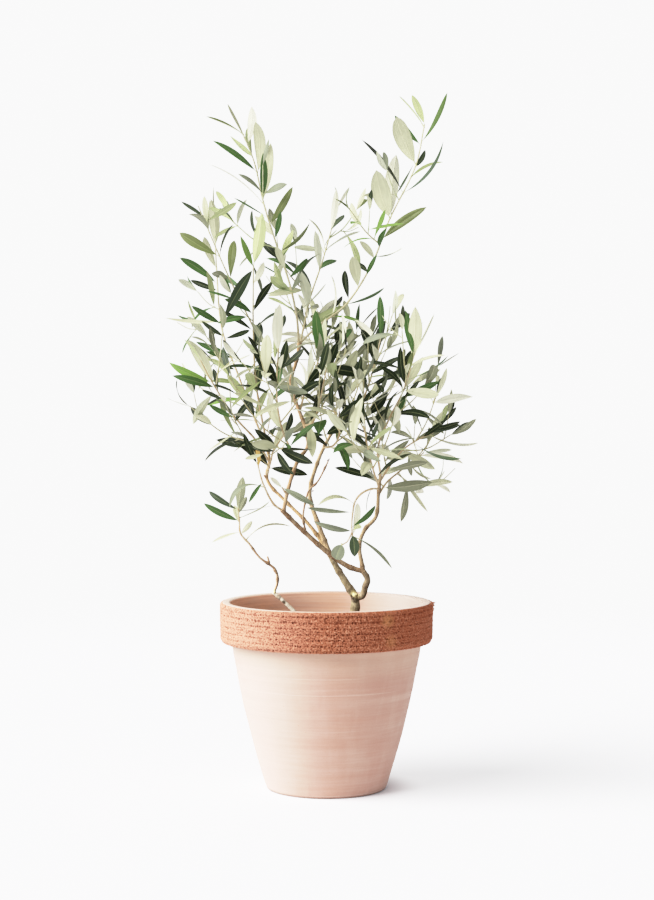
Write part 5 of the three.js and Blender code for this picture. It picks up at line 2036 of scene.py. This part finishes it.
def floor_finish(settings):
    """A white floor that glows a little, so that shadows stay pale away from the pot's foot, and
    that turns into the white of the room further out."""
    floor = Finish("studio_floor", Roughness=0.9, Specular_IOR_Level=0.1)
    floor.shader.inputs["Base Color"].default_value = FLOOR_COLOUR
    away = floor.node("ShaderNodeVectorMath", {"operation": "LENGTH"}, {0: floor.place()}, "Value")
    glow = floor.node("ShaderNodeEmission", {}, {"Strength": settings.white, "Color": WHITE})
    lit = Socket(floor, floor.shader.outputs[0])
    share = floor.mask(away, *FLOOR_GLOW_FROM) * FLOOR_GLOW
    share = share + floor.mask(away, *FLOOR_WHITE_FROM) * (1 - FLOOR_GLOW)
    both = floor.node("ShaderNodeMixShader", {}, {0: share, 1: lit, 2: glow})
    floor.tree.links.new(both.socket, floor.tree.nodes["Material Output"].inputs["Surface"])
    return floor.material


def light_the_room(settings):
    """White all round: one strength to light by, and the strength that the camera sees."""
    world = bpy.data.worlds.new("studio_white")
    bpy.context.scene.world = world
    world.use_nodes = True
    nodes, links = world.node_tree.nodes, world.node_tree.links
    fill = nodes["Background"]
    fill.inputs["Color"].default_value = FILL_COLOUR
    fill.inputs["Strength"].default_value = settings.fill_strength
    seen = nodes.new("ShaderNodeBackground")
    seen.inputs["Strength"].default_value = settings.white
    seen.inputs["Color"].default_value = WHITE
    ray = nodes.new("ShaderNodeLightPath")
    both = nodes.new("ShaderNodeMixShader")
    links.new(ray.outputs["Is Camera Ray"], both.inputs[0])
    links.new(fill.outputs[0], both.inputs[1])
    links.new(seen.outputs[0], both.inputs[2])
    links.new(both.outputs[0], nodes["World Output"].inputs["Surface"])


def print_as_film():
    """Let bright tones roll off softly, as in a print."""
    view = bpy.context.scene.view_settings
    view.view_transform = "Standard"
    view.look = "None"
    view.use_curve_mapping = True
    mapping = view.curve_mapping
    mapping.white_level = (FILM_WHITE,) * 3
    points = mapping.curves[3].points
    points[0].location = FILM[0]
    points[1].location = (1, FILM[-1][1])
    for bright, printed in FILM[1:-1]:
        points.new(bright / FILM_WHITE, printed)
    mapping.update()


# Settings, operators and the panel

def colour(name, description, default):
    return FloatVectorProperty(name=name, description=description, default=default,
                               subtype="COLOR", size=3, min=0, max=1)


def size(name, description, default):
    return FloatProperty(name=name, description=description, default=default, min=0,
                         subtype="DISTANCE", unit="LENGTH")


def strength(name, description, default):
    return FloatProperty(name=name, description=description, default=default)


def angle(name, description, degrees):
    return FloatProperty(name=name, description=description, default=math.radians(degrees),
                         subtype="ANGLE", unit="ROTATION")


class PotSettings(bpy.types.PropertyGroup):
    """Sizes and colours of the pot."""
    throwing_rings: size("Throwing rings", "How far the rings from the wheel stand out", 0.0003)
    out_of_round: size("Out of round", "How far the thrown wall strays from a true circle", 0.0005)
    band_relief: size("Band relief", "How deep the band is torn and pitted", 0.0011)
    clay: colour("Clay", "Bare fired clay", (0.425, 0.228, 0.170))
    slip: colour("Slip", "Paler slip in streaks and dust", (0.56, 0.385, 0.315))
    slip_line: colour("Slip line", "The thin pale lines", (0.72, 0.59, 0.51))
    # Painted light: the paler colour laid on the pot's left side.
    lit_clay: colour("Lit clay", "The pot's left side, painted paler as painted light", (0.68, 0.555, 0.465))
    mouth: colour("Mouth", "The inside of the pot", (0.56, 0.30, 0.205))
    # Painted light: the paler colour laid on the mouth's right side and on the lip's crest there.
    lit_mouth: colour("Lit mouth clay", "The mouth's right side and the lip's crest there, painted paler as painted light", (0.76, 0.62, 0.54))
    band_clay: colour("Band clay", "The torn red clay", (0.30, 0.094, 0.046))
    # The pit and ridge colours carry painted shade and painted light as well as the clay's own colour.
    band_pit: colour("Band pits", "The clay deep in its pits, darker partly as painted shade", (0.125, 0.029, 0.013))
    band_ridge: colour("Band ridges", "The clay on its ridges, paler partly as painted light", (0.50, 0.225, 0.135))
    # The next two colours are painted light on the band's left side and painted shade on its right side.
    band_lit_side: colour("Band lit side", "The band's left side, painted paler as painted light", (0.68, 0.325, 0.225))
    band_shaded_side: colour("Shaded band clay", "The band's right side, painted darker and redder as painted shade", (0.26, 0.058, 0.022))


class CrownSettings(bpy.types.PropertyGroup):
    """How the leaves are made."""
    leaf_width: FloatProperty(
        name="Leaf width", description="How wide the leaves are, as a share of their usual width",
        default=1.0, min=0.3, max=1.3, subtype="FACTOR")


class StageSettings(bpy.types.PropertyGroup):
    """Light and camera."""
    white: strength("White", "Brightness of the room that is seen", 1.8)
    key_strength: strength("Key", "Strength of the key light", 8.4)
    key_softness: angle("Key softness", "How wide the key light is", 50)
    key_turn: angle("Key turn", "How far left of the viewer the key stands", 66)
    key_height: angle("Key height", "The key's height above the floor", 40)
    fill_strength: strength("Fill", "Strength of the light all round", 0.58)
    camera_distance: size("Camera distance", "From the pot's axis to the camera", 2.045)
    camera_height: size("Camera height", "From the floor to the camera", 0.42)
    camera_dip: angle("Camera dip", "How far the camera looks down", 1.105)


class OLIVE_OT_pot_body(bpy.types.Operator):
    """Throw the pot's body and lip"""
    bl_idname = "olive.pot_body"
    bl_label = "Pot body"

    def execute(self, context):
        make_pot_body(context.scene.olive_pot)
        return {"FINISHED"}


class OLIVE_OT_pot_band(bpy.types.Operator):
    """Turn the thick band and tear its clay"""
    bl_idname = "olive.pot_band"
    bl_label = "Pot band"

    def execute(self, context):
        make_pot_band(context.scene.olive_pot)
        return {"FINISHED"}


class OLIVE_OT_soil(bpy.types.Operator):
    """Fill the pot with soil, bark crumbs and grit"""
    bl_idname = "olive.soil"
    bl_label = "Soil"

    def execute(self, context):
        make_soil()
        return {"FINISHED"}


class OLIVE_OT_stems(bpy.types.Operator):
    """Grow the trunk, boughs, stubs and buds"""
    bl_idname = "olive.stems"
    bl_label = "Woody stems"

    def execute(self, context):
        make_stems()
        return {"FINISHED"}


class OLIVE_OT_foliage(bpy.types.Operator):
    """Grow the leafy twigs and deal out their leaves"""
    bl_idname = "olive.foliage"
    bl_label = "Twigs and leaves"

    def execute(self, context):
        make_foliage(context.scene.olive_crown)
        return {"FINISHED"}


class OLIVE_OT_stage(bpy.types.Operator):
    """Set up the floor, the lights and the camera"""
    bl_idname = "olive.stage"
    bl_label = "Stage"

    def execute(self, context):
        make_stage(context.scene.olive_stage)
        return {"FINISHED"}


STEPS = [OLIVE_OT_stage, OLIVE_OT_pot_body, OLIVE_OT_pot_band, OLIVE_OT_soil, OLIVE_OT_stems,
         OLIVE_OT_foliage]
GROUPS = {"olive_pot": PotSettings, "olive_crown": CrownSettings, "olive_stage": StageSettings}


class OLIVE_PT_panel(bpy.types.Panel):
    """Lists the steps that make the potted olive tree, and their settings"""
    bl_idname = "OLIVE_PT_panel"
    bl_label = "Potted olive tree"
    bl_space_type = "VIEW_3D"
    bl_region_type = "UI"
    bl_category = "Olive"

    def draw(self, context):
        for step in STEPS:
            self.layout.operator(step.bl_idname)
        for name, group in GROUPS.items():
            box = self.layout.box()
            for setting in group.__annotations__:
                box.prop(getattr(context.scene, name), setting)


def register():
    for kind in (*GROUPS.values(), *STEPS, OLIVE_PT_panel):
        bpy.utils.register_class(kind)
    for name, group in GROUPS.items():
        setattr(bpy.types.Scene, name, bpy.props.PointerProperty(type=group))


def unregister():
    for name in GROUPS:
        delattr(bpy.types.Scene, name)
    for kind in (OLIVE_PT_panel, *STEPS, *GROUPS.values()):
        bpy.utils.unregister_class(kind)


def main():
    register()
    bpy.ops.olive.stage()
    bpy.ops.olive.pot_body()
    bpy.ops.olive.pot_band()
    bpy.ops.olive.soil()
    bpy.ops.olive.stems()
    bpy.ops.olive.foliage()
    sizes = {"cad": cad_box, "visual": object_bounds()}
    {name: [list(corner) for corner in box] for name, box in sizes.items()}


if __name__ == "__main__":
    main()
